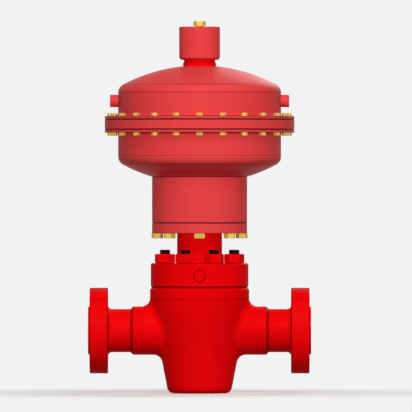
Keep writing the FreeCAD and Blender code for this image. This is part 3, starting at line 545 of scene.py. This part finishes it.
def arc(centre: tuple[float, float], radius: float, start: float, end: float, steps: int) -> Section:
    """Points along an arc of a section, its angles in radians from the outward direction."""
    turns = [start + (end - start) * step / steps for step in range(steps + 1)]
    return [(centre[0] + radius * math.cos(turn), centre[1] + radius * math.sin(turn)) for turn in turns]


def pick(*pieces: Piece) -> None:
    """Leave edit mode and select these pieces alone, or nothing; the first becomes active."""
    if bpy.context.object and bpy.context.object.mode != "OBJECT":
        bpy.ops.object.mode_set(mode="OBJECT")
    bpy.ops.object.select_all(action="DESELECT")
    for piece in pieces[::-1]:
        piece.select_set(True)
        bpy.context.view_layer.objects.active = piece


@contextmanager
def editing(piece: Piece) -> Iterator[None]:
    """Hold one piece in edit mode, with all of it selected at first."""
    pick(piece)
    bpy.ops.object.mode_set(mode="EDIT")
    bpy.ops.mesh.select_all(action="SELECT")
    yield
    bpy.ops.object.mode_set(mode="OBJECT")


def named(name: str) -> Piece:
    """Name the piece that an operator has just left active, and its mesh."""
    piece = bpy.context.object
    piece.name = piece.data.name = name
    return piece


def settle(piece: Piece) -> Piece:
    """Apply a piece's place, turn and size to its mesh."""
    pick(piece)
    bpy.ops.object.transform_apply(location=True, rotation=True, scale=True)
    return piece


def move(piece: Piece, matrix: Matrix) -> Piece:
    """Move a piece's mesh by a matrix."""
    piece.data.transform(matrix)
    return piece


def modify(piece: Piece, kind: str, **settings: object) -> None:
    """Add one modifier to a piece and apply it.

    Args:
        piece: The piece.
        kind: The modifier's type.
        settings: Its settings.
    """
    pick(piece)
    modifier = piece.modifiers.new(kind.title(), kind)
    for key, value in settings.items():
        setattr(modifier, key, value)
    bpy.ops.object.modifier_apply(modifier=modifier.name)


def carve(piece: Piece, tool: Piece, operation: str = "DIFFERENCE") -> None:
    """Cut, join or meet a piece with another, which is used up."""
    modify(piece, "BOOLEAN", object=tool, operation=operation, solver="EXACT")
    bpy.data.objects.remove(tool)


def ease(piece: Piece, width: float) -> None:
    """Break the sharp edges of a piece by a narrow round."""
    modify(piece, "BEVEL", width=width, segments=2, limit_method="ANGLE", angle_limit=BEVEL_ANGLE,
           harden_normals=False)


def smooth(piece: Piece, crease: float | None = None) -> None:
    """Shade a piece smooth, but for its sharp edges, and keep its flats flat.

    Args:
        piece: The piece.
        crease: The height of a shallow edge that stays sharp.
    """
    pick(piece)
    bpy.ops.object.shade_smooth_by_angle(angle=SMOOTH_ANGLE)
    for edge in piece.data.edges if crease is not None else ():
        if all(abs(piece.data.vertices[end].co.z - crease) < CLEARANCE for end in edge.vertices):
            edge.use_edge_sharp = True
    modify(piece, "WEIGHTED_NORMAL", keep_sharp=True, weight=50)


def lathe(name: str, section: Section, facets: Facets = Facets.LARGE, lead: float = 0.0) -> Piece:
    """Draw a section by extruding points and spin it round the upright axis.

    Args:
        name: The piece's name.
        section: The closed section's points, as (radius, height).
        facets: How finely it is divided.
        lead: How far the section climbs in one turn, for a screw thread.

    Returns:
        The piece.
    """
    pick()
    bpy.ops.mesh.primitive_plane_add(size=MM)
    piece = named(name)
    with editing(piece):
        bpy.ops.mesh.merge(type="CENTER")
        bpy.ops.transform.translate(value=(section[0][0], 0.0, section[0][1]))
        before = Vector(section[0])
        for spot in [*section[1:], section[0]]:
            step = Vector(spot) - before
            if step.length < MERGE:
                continue
            bpy.ops.mesh.extrude_region_move(TRANSFORM_OT_translate={"value": (step.x, 0.0, step.y)})
            before = Vector(spot)
        bpy.ops.mesh.select_all(action="SELECT")
        bpy.ops.mesh.spin(steps=facets.value, angle=TURN, center=(0, 0, 0), axis=(0, 0, 1))
        if lead:
            mesh = bmesh.from_edit_mesh(piece.data)
            per_copy = len(mesh.verts) // (facets.value + 1)
            for index, vertex in enumerate(mesh.verts):
                vertex.co.z += lead * (index // per_copy) / facets.value
            bmesh.update_edit_mesh(piece.data)
        bpy.ops.mesh.select_all(action="SELECT")
        bpy.ops.mesh.remove_doubles(threshold=MERGE)
        bpy.ops.mesh.dissolve_degenerate(threshold=MERGE)
        bpy.ops.mesh.select_all(action="SELECT")
        bpy.ops.mesh.normals_make_consistent(inside=False)
    return piece


def bar(name: str, facets: Facets, radius: float, base: float, top: float) -> Piece:
    """An upright round or hexagonal bar.

    Args:
        name: The bar's name.
        facets: How many sides it has.
        radius: The radius over its corners.
        base: Its lower end.
        top: Its upper end.

    Returns:
        The bar, a corner towards +X.
    """
    pick()
    bpy.ops.mesh.primitive_cylinder_add(
        vertices=facets.value, radius=radius, depth=top - base, location=(0, 0, (base + top) / 2),
        rotation=(0, 0, -QUARTER))
    return settle(named(name))


def join(name: str, pieces: Sequence[Piece]) -> Piece:
    """Join pieces, which are used up, in one of this name."""
    pick(*pieces)
    bpy.ops.object.join()
    return named(name)


def twin(piece: Piece, matrix: Matrix) -> Piece:
    """A copy of a piece with its own mesh, moved by a matrix."""
    made = piece.copy()
    made.data = piece.data.copy()
    bpy.context.scene.collection.objects.link(made)
    return move(made, matrix)


def hexagon(name: str, flats: float, base: float, top: float, chamfer_base: bool, chamfer_top: bool,
            washer: float = 0.0) -> Piece:
    """A hexagonal head or nut blank with its corners turned off.

    Args:
        name: The blank's name.
        flats: The width across flats.
        base: Its lower end.
        top: Its upper end.
        chamfer_base: Whether the lower corners are turned off.
        chamfer_top: Whether the upper corners are turned off.
        washer: The height of a round washer face under it.

    Returns:
        The blank, a corner towards +X.
    """
    corner = flats / 2 / math.cos(math.pi / 6)
    drop = (corner - flats / 2) * math.tan(math.pi / 6) * HEX_DROP
    inset, over, foot = flats / 2 * HEX_FACE, corner * HEX_REACH, base + washer
    blank = bar(name, Facets.HEXAGON, corner, foot, top)
    low = [(inset, foot), (over, foot + drop)] if chamfer_base else [(over, foot)]
    high = [(over, top - drop), (inset, top)] if chamfer_top else [(over, top)]
    carve(blank, lathe("corners", [(0.0, foot)] + low + high + [(0.0, top)], Facets.SMALL), "INTERSECT")
    if washer:
        carve(blank, bar("collar", Facets.SMALL, inset, base, foot + OVERLAP), "UNION")
    return blank


class Assembly:
    """A group of pieces that are dressed and reported in the same way."""

    def dress(self, piece: Piece, finish: Finish, node: str, crease: float | None = None,
              rides: bool = True) -> None:
        """Give a new piece its finish and its body.

        Args:
            piece: The piece.
            finish: Its finish.
            node: The CAD node that it replaces.
            crease: The height of a shallow edge that stays sharp.
            rides: Whether it rides on the fixed body as a whole.
        """
        piece.data.materials.clear()
        piece.data.materials.append(material_of(finish))
        smooth(piece, crease)
        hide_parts(node)
        if rides:
            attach(piece, BODY)
        log.info("%s: %d faces, %s", piece.name, len(piece.data.polygons), finish.name)

    def turned(self, name: str, node: str, finish: Finish, corners: Sequence[Corner],
               facets: Facets = Facets.LARGE) -> None:
        """Turn a piece from its section's corners and dress it."""
        self.dress(lathe(name, rounded(corners), facets), finish, node)

    def ring(self, name: str, node: str, finish: Finish, inner: float, low: float = 0.0,
             high: float = 0.0) -> None:
        """Turn a flat ring, its lower and upper outer edges rounded, and dress it."""
        whole = Extent.of(node)
        self.turned(name, node, finish, [
            (inner, whole.base), (whole.radius, whole.base, low), (whole.radius, whole.top, high),
            (inner, whole.top)])

    def circled(self, name: str, node: str, finish: Finish, piece: Piece, circle: float, count: int,
                start: float = -90.0) -> None:
        """Set copies of a fastener on a bolt circle and dress them as one.

        Args:
            name: The name of the set.
            node: The CAD node that it replaces.
            finish: Its finish.
            piece: The fastener, on the upright axis, which becomes the first.
            circle: The bolt circle's radius.
            count: How many there are in all.
            start: The angle of the first, in degrees.
        """
        first = Matrix.Rotation(math.radians(start), 4, "Z") @ Matrix.Translation((circle, 0, 0))
        move(piece, first)
        turns = [Matrix.Rotation(TURN * index / count, 4, "Z") for index in range(1, count)]
        self.dress(join(name, [piece] + [twin(piece, turn) for turn in turns]), finish, node)

    def merged(self, node: str) -> Piece:
        """A copy of a CAD node with its loose triangles joined.

        Args:
            node: The CAD node's name.

        Returns:
            The copy.
        """
        copied = bpy.data.objects.new(node + "_skin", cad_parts[node].data.copy())
        bpy.context.scene.collection.objects.link(copied)
        with editing(copied):
            bpy.ops.mesh.customdata_custom_splitnormals_clear()
            bpy.ops.mesh.remove_doubles(threshold=MERGE)
            bpy.ops.mesh.normals_make_consistent(inside=False)
        return copied


@dataclass
class ValveBody(Assembly):
    """The forged body with its end flanges."""

    band_height: float = 27.1 * MM

    def build(self) -> None:
        """Dress the body, its band's lower edge kept crisp."""
        self.dress(self.merged("valve_body"), VALVE_ENAMEL, "valve_body",
                   crease=Extent.of("valve_body").top - self.band_height)


@dataclass
class Bonnet(Assembly):
    """The bonnet, its studs, nuts and plug."""

    chamfer: float = 2.8 * MM
    foot_chamfer: float = 4.2 * MM
    step_radius: float = 54.5 * MM
    step_height: float = 2.4 * MM
    neck_radius: float = 52.6 * MM
    spigot_radius: float = 42.0 * MM
    edge: float = 0.7 * MM
    stud_count: int = 8
    stud_radius: float = 12.7 * MM
    stud_circle: float = 87.35 * MM
    thread_pitch: float = 3.175 * MM
    thread_depth: float = 1.7 * MM
    thread_crest: tuple[float, float] = (0.42, 0.54)
    thread_chamfer: float = 2.72 * MM
    thread_trim: float = 1.1
    nut_flats: float = 41.3 * MM
    nut_washer: float = 0.8 * MM
    nut_mouth: float = 1.2 * MM
    nut_edge: float = 0.35 * MM
    wrench_step: float = 15.0
    plug_flats: float = 26.8 * MM
    plug_seat_depth: float = 2.0 * MM
    plug_seat_radius: float = 17.4 * MM
    plug_shank: float = 10.65 * MM

    def build(self) -> None:
        """Make and dress all of it."""
        self._casting()
        self._studs()
        self._nuts()
        self._plug()

    def _casting(self) -> None:
        """The bonnet itself, solid where its packing is."""
        whole, gland = Extent.of("bonnet"), Extent.of("packing_gland")
        shelf, shoulder = Extent.of("bonnet_nuts").base, Extent.of("end_plate").base
        radius, cut, edge = whole.radius, self.chamfer, self.edge
        step, bore = shelf + self.step_height, gland.radius + CLEARANCE
        section = rounded([
            (0.0, whole.base), (radius - cut, whole.base),
            (radius, whole.base + self.foot_chamfer, edge / 2), (radius, shelf - cut, edge),
            (radius - cut, shelf, edge), (self.step_radius, shelf, edge), (self.step_radius, step, edge),
            (self.neck_radius, step, edge), (self.neck_radius, shoulder, edge),
            (self.spigot_radius, shoulder), (self.spigot_radius, whole.top, edge), (bore, whole.top),
            (bore, gland.base), (0.0, gland.base)])
        piece = lathe("bonnet_casting", section)
        spot_face = bar("plug_spot_face", Facets.MEDIUM, self.plug_seat_radius,
                        radius - self.plug_seat_depth, radius + self.plug_seat_depth)
        carve(piece, move(spot_face, self._plug_stand()))
        self.dress(piece, BONNET_ENAMEL, "bonnet")

    @staticmethod
    def _plug_stand() -> Matrix:
        """The matrix that lays an upright piece along the plug's axis, its top to the front."""
        low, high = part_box("bonnet_plug")
        return Matrix.Translation((0, 0, (low.z + high.z) / 2)) @ Matrix.Rotation(QUARTER, 4, "X")

    def _studs(self) -> None:
        """The studs, with a real screw thread where they stand above the nuts."""
        whole = Extent.of("bonnet_studs")
        thread_base = Extent.of("bonnet_nuts").top - self.thread_pitch
        shank = bar("stud_shank", Facets.SMALL, self.stud_radius, whole.base, thread_base + MM)
        stud = join("bonnet_stud", [shank, self._thread(thread_base, whole.top)])
        self.circled("bonnet_stud_set", "bonnet_studs", STUD_BLACK, stud, self.stud_circle,
                     self.stud_count, 180 / self.stud_count)

    def _thread(self, base: float, top: float) -> Piece:
        """A threaded rod with a chamfered end.

        Args:
            base: Its lower end.
            top: Its upper end.

        Returns:
            The rod.
        """
        pitch, depth, outer = self.thread_pitch, self.thread_depth, self.stud_radius
        turns = math.ceil((top - base) / pitch) + 2
        section: Section = [(0.0, base - pitch)]
        for index in range(turns):
            level = base + (index - 1) * pitch
            section.append((outer - depth, level))
            section += [(outer, level + pitch * share) for share in self.thread_crest]
        section += [(outer - depth, base + (turns - 1) * pitch), (0.0, base + (turns - 1) * pitch)]
        rod = lathe("stud_thread", section, Facets.SMALL, lead=pitch)
        over, below = outer * self.thread_trim, top - self.thread_chamfer
        trim = [(0.0, base), (over, base), (over, below), (outer - depth, top), (0.0, top)]
        carve(rod, lathe("thread_trim", trim, Facets.SMALL), "INTERSECT")
        return rod

    def _nuts(self) -> None:
        """The heavy nuts, each left at its own angle."""
        whole, flats, circle = Extent.of("bonnet_nuts"), self.nut_flats, self.stud_circle
        pattern = hexagon("nut_pattern", flats, whole.base, whole.top, False, True, self.nut_washer)
        bore = self.stud_radius + CLEARANCE
        hole = lathe("nut_hole", [
            (0.0, whole.base - MM), (bore, whole.base - MM), (bore, whole.top - self.nut_mouth),
            (bore + self.nut_mouth, whole.top), (bore + self.nut_mouth, whole.top + MM),
            (0.0, whole.top + MM)], Facets.SMALL)
        carve(pattern, hole)
        ease(pattern, self.nut_edge)
        nuts = []
        for index in range(self.stud_count):
            place = math.radians((index + 0.5) * 360 / self.stud_count)
            wrench = math.radians(-self.wrench_step * (index + 1) % 60)
            spot = Matrix.Translation((circle * math.cos(place), circle * math.sin(place), 0))
            nuts.append(twin(pattern, spot @ Matrix.Rotation(wrench, 4, "Z")))
        bpy.data.objects.remove(pattern)
        self.dress(join("bonnet_nut_set", nuts), BONNET_ENAMEL, "bonnet_nuts")

    def _plug(self) -> None:
        """The hexagonal plug in the front of the bonnet."""
        low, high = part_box("bonnet_plug")
        seat = Extent.of("bonnet").radius - self.plug_seat_depth
        head = hexagon("bonnet_plug_hex", self.plug_flats, seat, -low.y, False, True)
        carve(head, bar("plug_shank", Facets.SMALL, self.plug_shank, -high.y, seat + MM), "UNION")
        ease(head, self.nut_edge)
        move(head, self._plug_stand() @ Matrix.Rotation(math.radians(30), 4, "Z"))
        self.dress(head, BONNET_ENAMEL, "bonnet_plug")


@dataclass
class SpringCase(Assembly):
    """The end plate, its bolts and gasket, the spring barrel, the breather and the spring."""

    edge: float = 0.8 * MM
    plate_edge: float = 1.2 * MM
    plate_hole: float = 42.05 * MM
    bolt_count: int = 8
    bolt_flats: float = 24.0 * MM
    bolt_radius: float = 8.0 * MM
    bolt_circle: float = 98.5 * MM
    bolt_edge: float = 0.3 * MM
    wall: float = 8.0 * MM
    ring_radius: float = 87.5 * MM
    ring_height: float = 28.0 * MM
    weld: float = 2.2 * MM
    weld_shape: tuple[float, ...] = (0.2, 0.5, 0.9, 1.2)
    wire: float = 9.0 * MM
    wire_facets: int = 20
    coil_radius: float = 72.0 * MM
    coil_facets: int = 56
    coils: float = 6.5
    keep: float = 0.754

    def build(self) -> None:
        """Make and dress all of it."""
        self.ring("end_plate_disc", "end_plate", ACTUATOR_ENAMEL, self.plate_hole, self.plate_edge,
                  self.edge)
        self.ring("end_plate_gasket_ring", "end_plate_gasket", RUBBER, self.ring_radius)
        self._barrel()
        self._bolts()
        self.dress(self.merged("breather"), ZINC, "breather")
        self._spring()

    def _barrel(self) -> None:
        """The barrel, with a small weld where the dish sits on it."""
        barrel, dish = Extent.of("spring_barrel"), Extent.of("lower_housing").base
        radius, inner, step = barrel.radius, barrel.radius - self.wall, barrel.base + self.ring_height
        foot, fillet, crest, end = (self.weld * share for share in self.weld_shape)
        self.turned("spring_barrel_tube", "spring_barrel", ACTUATOR_ENAMEL, [
            (self.ring_radius, barrel.base), (radius, barrel.base, self.edge),
            (radius, dish - foot, fillet), (radius + self.weld, dish + crest), (radius, dish + end),
            (radius, barrel.top), (inner, barrel.top), (inner, step), (self.ring_radius, step)])

    def _bolts(self) -> None:
        """The bolts under the end plate, a corner of each pointing outward."""
        whole, plate = Extent.of("end_plate_bolts"), Extent.of("end_plate").base
        head = hexagon("end_bolt", self.bolt_flats, whole.base, plate, True, False)
        carve(head, bar("end_bolt_shank", Facets.TINY, self.bolt_radius, plate - MM, whole.top), "UNION")
        ease(head, self.bolt_edge)
        self.circled("end_plate_bolt_set", "end_plate_bolts", ZINC, head, self.bolt_circle,
                     self.bolt_count)

    def _spring(self) -> None:
        """The closing spring, its ends ground flat on the seats."""
        spring = Extent.of("spring")
        steps = int(self.coil_facets * self.coils)
        pick()
        bpy.ops.mesh.primitive_circle_add(
            vertices=self.wire_facets, radius=self.wire, location=(self.coil_radius, 0, spring.base),
            rotation=(QUARTER, 0, 0))
        coil = settle(named("closing_spring"))
        modify(coil, "SCREW", axis="Z", angle=TURN * self.coils, screw_offset=spring.top - spring.base,
               steps=steps, render_steps=steps, iterations=1, use_normal_calculate=True)
        for level, clear_outer in ((spring.base, False), (spring.top, True)):
            with editing(coil):
                bpy.ops.mesh.bisect(plane_co=(0, 0, level), plane_no=(0, 0, 1), use_fill=True,
                                    clear_outer=clear_outer, clear_inner=not clear_outer)
        with editing(coil):
            bpy.ops.mesh.normals_make_consistent(inside=False)
        self.dress(coil, SPRING_COAT, "spring")
        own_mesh(coil)


@dataclass
class DiaphragmCase(Assembly):
    """The two dished housings and everything clamped between them."""

    cylinder: float = 190.25 * MM
    wall: float = 5.0 * MM
    crown: float = 380.0 * MM
    crown_steps: int = 28
    knuckle: float = 21.0 * MM
    knuckle_steps: int = 12
    root: float = 7.0 * MM
    flange_edge: float = 0.8 * MM
    lower_flange: float = 6.3 * MM
    upper_flange: float = 7.1 * MM
    lower_tangent: float = 552.6 * MM
    upper_tangent: float = 702.4 * MM
    bolt_count: int = 24
    bolt_circle: float = 207.4 * MM
    bolt_radius: float = 4.75 * MM
    bolt_flats: float = 14.3 * MM
    bolt_edge: float = 0.22 * MM
    sheet: float = 2.5 * MM
    sheet_bore: float = 19.05 * MM
    sheet_flat: float = 160 * MM
    sheet_bend: float = 9 * MM
    sheet_rise_end: float = 179 * MM
    port_bore: float = 10.2 * MM
    port_pitch: float = 1.814 * MM
    port_depth: float = 0.9 * MM
    port_mouth: float = 1.9 * MM
    port_thread_start: float = 3 * MM
    port_thread_short: float = 5 * MM
    port_edge: float = 0.8 * MM

    def build(self) -> None:
        """Make and dress all of it."""
        edge, inner = self.flange_edge, self.cylinder - self.wall
        self._housing("lower_housing", "spring_barrel", -1, self.lower_tangent, self.lower_flange)
        self._housing("upper_housing", "top_hub", 1, self.upper_tangent, self.upper_flange)
        self.ring("spacer_gasket_plate", "spacer_gasket", RUBBER, inner)
        self.ring("spacer_ring_plate", "spacer_ring", ACTUATOR_ENAMEL, inner, edge, edge)
        self._diaphragm()
        self._bolts()
        for side, word in ((1, "right"), (-1, "left")):
            self._port(side, "air_port_" + word)

    def _dish(self, inset: float, tangent: float, way: int, hole: float) -> Section:
        """The dished part of a housing's section, from its hole to its cylinder.

        Args:
            inset: How far inside the outer surface it runs.
            tangent: The height where the knuckle meets the cylinder.
            way: 1 for a dish that bulges upward and -1 for one that bulges down.
            hole: The radius of the hole in the crown.

        Returns:
            The points.
        """
        centre_r = self.cylinder - self.knuckle
        rise = math.sqrt((self.crown - self.knuckle) ** 2 - centre_r ** 2)
        meet = way * math.acos(centre_r / (self.crown - self.knuckle))
        reach = self.crown - inset
        start = way * math.acos(hole / reach)
        crown = arc((0.0, tangent - way * rise), reach, start, meet, self.crown_steps)
        return crown + arc((centre_r, tangent), self.knuckle - inset, meet, 0.0, self.knuckle_steps)[1:]

    def _housing(self, node: str, inside: str, way: int, tangent: float, thickness: float) -> None:
        """One housing with its flange.

        Args:
            node: The CAD node that it replaces.
            inside: The CAD node that fills the hole in its crown.
            way: 1 for the upper housing and -1 for the lower one.
            tangent: The height where the knuckle meets the cylinder.
            thickness: The flange's thickness.
        """
        whole, hole = Extent.of(node), Extent.of(inside).radius
        rim, inner, far = whole.radius, self.cylinder - self.wall, whole.base if way > 0 else whole.top
        near = far + way * thickness
        flange = rounded([
            (self.cylinder, tangent), (self.cylinder, near, self.root), (rim, near, self.flange_edge),
            (rim, far, self.flange_edge), (inner, far), (inner, tangent)], steps=6)
        section = (self._dish(0.0, tangent, way, hole)[:-1] + flange
                   + self._dish(self.wall, tangent, way, hole)[-2::-1])
        self.dress(lathe(node + "_shell", section), ACTUATOR_ENAMEL, node)

    def _diaphragm(self) -> None:
        """The diaphragm, which bends between its clamped rim and the plates."""
        clamp, rim = Extent.of("spacer_ring").top, Extent.of("upper_housing").base
        radius, plate = Extent.of("diaphragm").radius, Extent.of("lower_diaphragm_plate").top
        flat, bend, sheet = self.sheet_flat, self.sheet_bend, self.sheet
        section = rounded([
            (self.sheet_bore, plate), (flat, plate, bend), (self.sheet_rise_end, clamp, bend),
            (radius, clamp), (radius, rim), (self.sheet_rise_end + sheet / 2, rim, bend - sheet),
            (flat + sheet, plate + sheet, bend + sheet), (self.sheet_bore, plate + sheet)], steps=8)
        piece = lathe("diaphragm_sheet", section)
        self.dress(piece, RUBBER, "diaphragm", rides=False)
        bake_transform(piece)

    def _bolts(self) -> None:
        """The bolts round the flanges, and the nuts under them."""
        bolts, nuts, flats = Extent.of("housing_bolts"), Extent.of("housing_nuts"), self.bolt_flats
        shelf, radius = Extent.of("upper_housing").base + self.upper_flange, self.bolt_radius
        head = hexagon("housing_bolt", flats, shelf, bolts.top, False, True)
        carve(head, bar("bolt_shank", Facets.TINY, radius, bolts.base, shelf + MM), "UNION")
        nut = hexagon("housing_nut", flats, nuts.base, nuts.top, True, False)
        carve(nut, bar("nut_hole", Facets.TINY, radius + CLEARANCE, nuts.base - MM, nuts.top + MM))
        for name, piece in (("housing_bolt", head), ("housing_nut", nut)):
            ease(piece, self.bolt_edge)
            self.circled(name + "_set", name + "s", ZINC, piece, self.bolt_circle, self.bolt_count)

    def _port(self, side: int, node: str) -> None:
        """A threaded coupling in the side of the upper housing.

        Args:
            side: 1 for +X and -1 for -X.
            node: The CAD node that it replaces.
        """
        low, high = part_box(node)
        near, far = sorted((abs(low.x), abs(high.x)))
        half_pitch, bore, outer = self.port_pitch / 2, self.port_bore, (high.z - low.z) / 2
        mouth = (bore + self.port_mouth, far, self.port_edge / 2)
        corners: list[Corner] = [(bore, near), (outer, near), (outer, far, self.port_edge), mouth]
        count, first = int((far - near - self.port_thread_short) / half_pitch), near + self.port_thread_start
        threads = [(bore + i % 2 * self.port_depth, first + i * half_pitch) for i in range(count)]
        piece = lathe(node + "_coupling", rounded(corners + threads[::-1]), Facets.MEDIUM)
        lift = Matrix.Translation((0, 0, (low.z + high.z) / 2))
        move(piece, lift @ Matrix.Rotation(QUARTER * side, 4, "Y"))
        self.dress(piece, ACTUATOR_ENAMEL, node)


@dataclass
class ShaftEnd(Assembly):
    """The top hub, the cap over the shaft and the plug on the cap."""

    hub_chamfer: float = 1.5 * MM
    hub_collar_top: float = 772.2 * MM
    hub_collar_root: float = 0.6 * MM
    hub_neck_radius: float = 36.65 * MM
    hub_thread_radius: float = 32.0 * MM
    hub_bore: float = 27.05 * MM
    cap_bevel_height: float = 4.4 * MM
    cap_bevel_width: float = 4.15 * MM
    cap_foot: float = 0.5 * MM
    cap_side: float = 0.8 * MM
    cap_fillet: float = 2 * MM
    cap_edge: float = 1.6 * MM
    cap_roof: float = 7.0 * MM
    plug_flats: float = 25.3 * MM
    plug_neck: float = 8.5 * MM
    plug_shank: float = 6.0 * MM
    plug_neck_height: float = 1.8 * MM
    plug_edge: float = 0.35 * MM

    def build(self) -> None:
        """Make and dress all of it."""
        hub, cap = Extent.of("top_hub"), Extent.of("cap")
        collar, neck, thread = self.hub_collar_top, self.hub_neck_radius, self.hub_thread_radius
        self.turned("top_hub_boss", "top_hub", HUB_ENAMEL, [
            (self.hub_bore, hub.base), (hub.radius, hub.base), (hub.radius, collar, self.hub_chamfer),
            (neck, collar, self.hub_collar_root), (neck, cap.base), (thread, cap.base), (thread, hub.top),
            (self.hub_bore, hub.top)], Facets.MEDIUM)
        inner, plug, ceiling = thread + CLEARANCE, self.plug_shank + CLEARANCE, cap.top - self.cap_roof
        self.turned("shaft_cap", "cap", ACTUATOR_ENAMEL, [
            (inner, cap.base), (cap.radius - self.cap_bevel_width, cap.base, self.cap_foot),
            (cap.radius, cap.base + self.cap_bevel_height, self.cap_side),
            (cap.radius, cap.top, self.cap_edge), (plug, cap.top), (plug, ceiling),
            (inner, ceiling, self.cap_fillet)], Facets.MEDIUM)
        self._plug()

    def _plug(self) -> None:
        """The hexagonal plug on the cap."""
        whole, roof = Extent.of("cap_plug"), Extent.of("cap").top
        seat = roof + self.plug_neck_height
        head = hexagon("cap_plug_hex", self.plug_flats, seat, whole.top, True, True)
        carve(head, bar("cap_plug_neck", Facets.SMALL, self.plug_neck, roof, seat + MM), "UNION")
        carve(head, bar("cap_plug_shank", Facets.TINY, self.plug_shank, whole.base, roof + MM), "UNION")
        ease(head, self.plug_edge)
        self.dress(head, ZINC, "cap_plug")


@dataclass
class Internals:
    """The pieces inside, which keep their CAD meshes."""

    finishes: dict[Finish, tuple[str, ...]] = field(default_factory=lambda: {
        BRIGHT_STEEL: (
            "gate", "valve_stem", "actuator_shaft", "seat_ring_right", "seat_ring_left", "bonnet_gasket"),
        PLAIN_STEEL: (
            "gate_guide_front", "gate_guide_rear", "packing_base_ring", "packing_gland", "lock_ring",
            "stem_connector", "lower_diaphragm_plate", "upper_diaphragm_plate", "shaft_washer",
            "shaft_nut", "lower_spring_seat", "bushing_snap_ring"),
        BRONZE: ("hub_bushing",), PACKING: ("stem_packing",),
        RUBBER: ("shaft_seals", "seat_seal_right", "seat_seal_left")})

    def build(self) -> None:
        """Give each of them a better finish in its own slots."""
        for finish, nodes in self.finishes.items():
            for node in nodes:
                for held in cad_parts[node].material_slots:
                    held.material = material_of(finish)
                log.info("%s keeps its CAD mesh, %s", node, finish.name)


@dataclass
class Studio:
    """The floor, the lamps and the camera."""

    picture_pixels: int = 412
    metres_to_pixel: float = 0.00233561
    middle_x: float = 0.015
    middle_z: float = 0.4375
    distance: float = 30.0
    sensor: float = 36.0
    clip: tuple[float, float] = (1.0, 200.0)
    sky: float = 0.10
    backdrop: Colour = (0.888, 0.888, 0.888)
    floor_reach: float = 60.0
    floor_bounce: Colour = (0.36, 0.36, 0.36)
    floor_shown: Colour = (1.0, 1.0, 1.0)
    shade_near: float = 0.3
    shade_far: float = 1.0
    lamp_size: float = 4.6
    lamps: tuple[tuple[str, Colour, float, bool], ...] = (
        ("key_lamp", (0.9, -9.8, 6.1), 312.0, True), ("even_lamp", (0.5, -9.6, 6.4), 950.0, False),
        ("back_lamp", (3.0, 9.0, 5.2), 300.0, True))

    def build(self) -> None:
        """Make the studio."""
        self._world()
        self._floor()
        self._hang_lamps()
        self._camera()

    def _world(self) -> None:
        """A soft even sky that shows as the backdrop's colour."""
        recipe = Recipe("studio_sky", sky=True)
        soft = recipe.node("Background", {"Color": (1.0, 1.0, 1.0), "Strength": self.sky})
        shown = recipe.node("Background", {"Color": self.backdrop, "Strength": 1.0})
        bpy.context.scene.world = recipe.finish(recipe.mixed(recipe.seen(), soft, shown))

    def _floor(self) -> None:
        """A plain pale floor that keeps the shadow near the valve and fades into the backdrop."""
        pick()
        bpy.ops.mesh.primitive_grid_add(x_subdivisions=8, y_subdivisions=8, size=self.floor_reach)
        floor = named("studio_floor")
        recipe = Recipe("studio_floor")
        x, y, _ = recipe.axes()
        far = ((x ** 2.0) + (y ** 2.0)).root().spread(self.shade_near, self.shade_far)
        bounce = recipe.node("BsdfDiffuse", {"Color": self.floor_bounce})
        shown = recipe.node("BsdfDiffuse", {"Color": self.floor_shown})
        glow = recipe.node("Emission", {"Color": self.backdrop, "Strength": 1.0})
        clear = recipe.node("BsdfTransparent")
        under = Value(recipe, recipe.node("NewGeometry").outputs["Backfacing"])
        lit = recipe.mixed(recipe.seen(), bounce, recipe.mixed(far, shown, glow))
        floor.data.materials.append(recipe.finish(recipe.mixed(under, lit, clear)))

    def _hang_lamps(self) -> None:
        """Square soft lamps aimed at the valve's middle: name, place, watts, whether it casts shadows."""
        for name, at, power, shadow in self.lamps:
            light = bpy.data.lights.new(name, "AREA")
            light.size = self.lamp_size
            light.energy = power
            light.use_shadow = shadow
            lamp = bpy.data.objects.new(name, light)
            bpy.context.scene.collection.objects.link(lamp)
            lamp.location = at
            aim = Vector((0.0, 0.0, self.middle_z)) - Vector(at)
            lamp.rotation_euler = aim.to_track_quat("-Z", "Y").to_euler()

    def _camera(self) -> None:
        """A long lens straight at the front, as the photograph was taken."""
        view = bpy.data.cameras.new("camera")
        view.sensor_width = self.sensor
        view.lens = self.sensor * self.distance / (self.picture_pixels * self.metres_to_pixel)
        view.clip_start, view.clip_end = self.clip
        camera = bpy.data.objects.new("camera", view)
        bpy.context.scene.collection.objects.link(camera)
        camera.location = (self.middle_x, -self.distance, self.middle_z)
        camera.rotation_euler = (QUARTER, 0.0, 0.0)
        bpy.context.scene.camera = camera


def main() -> None:
    """Build the studio and every assembly in order."""
    logging.basicConfig(level=logging.INFO, format="%(name)s: %(message)s")
    bpy.context.scene.view_settings.view_transform = "Standard"
    for maker in (Studio, ValveBody, Bonnet, SpringCase, DiaphragmCase, ShaftEnd, Internals):
        maker().build()


if __name__ == "__main__":
    main()
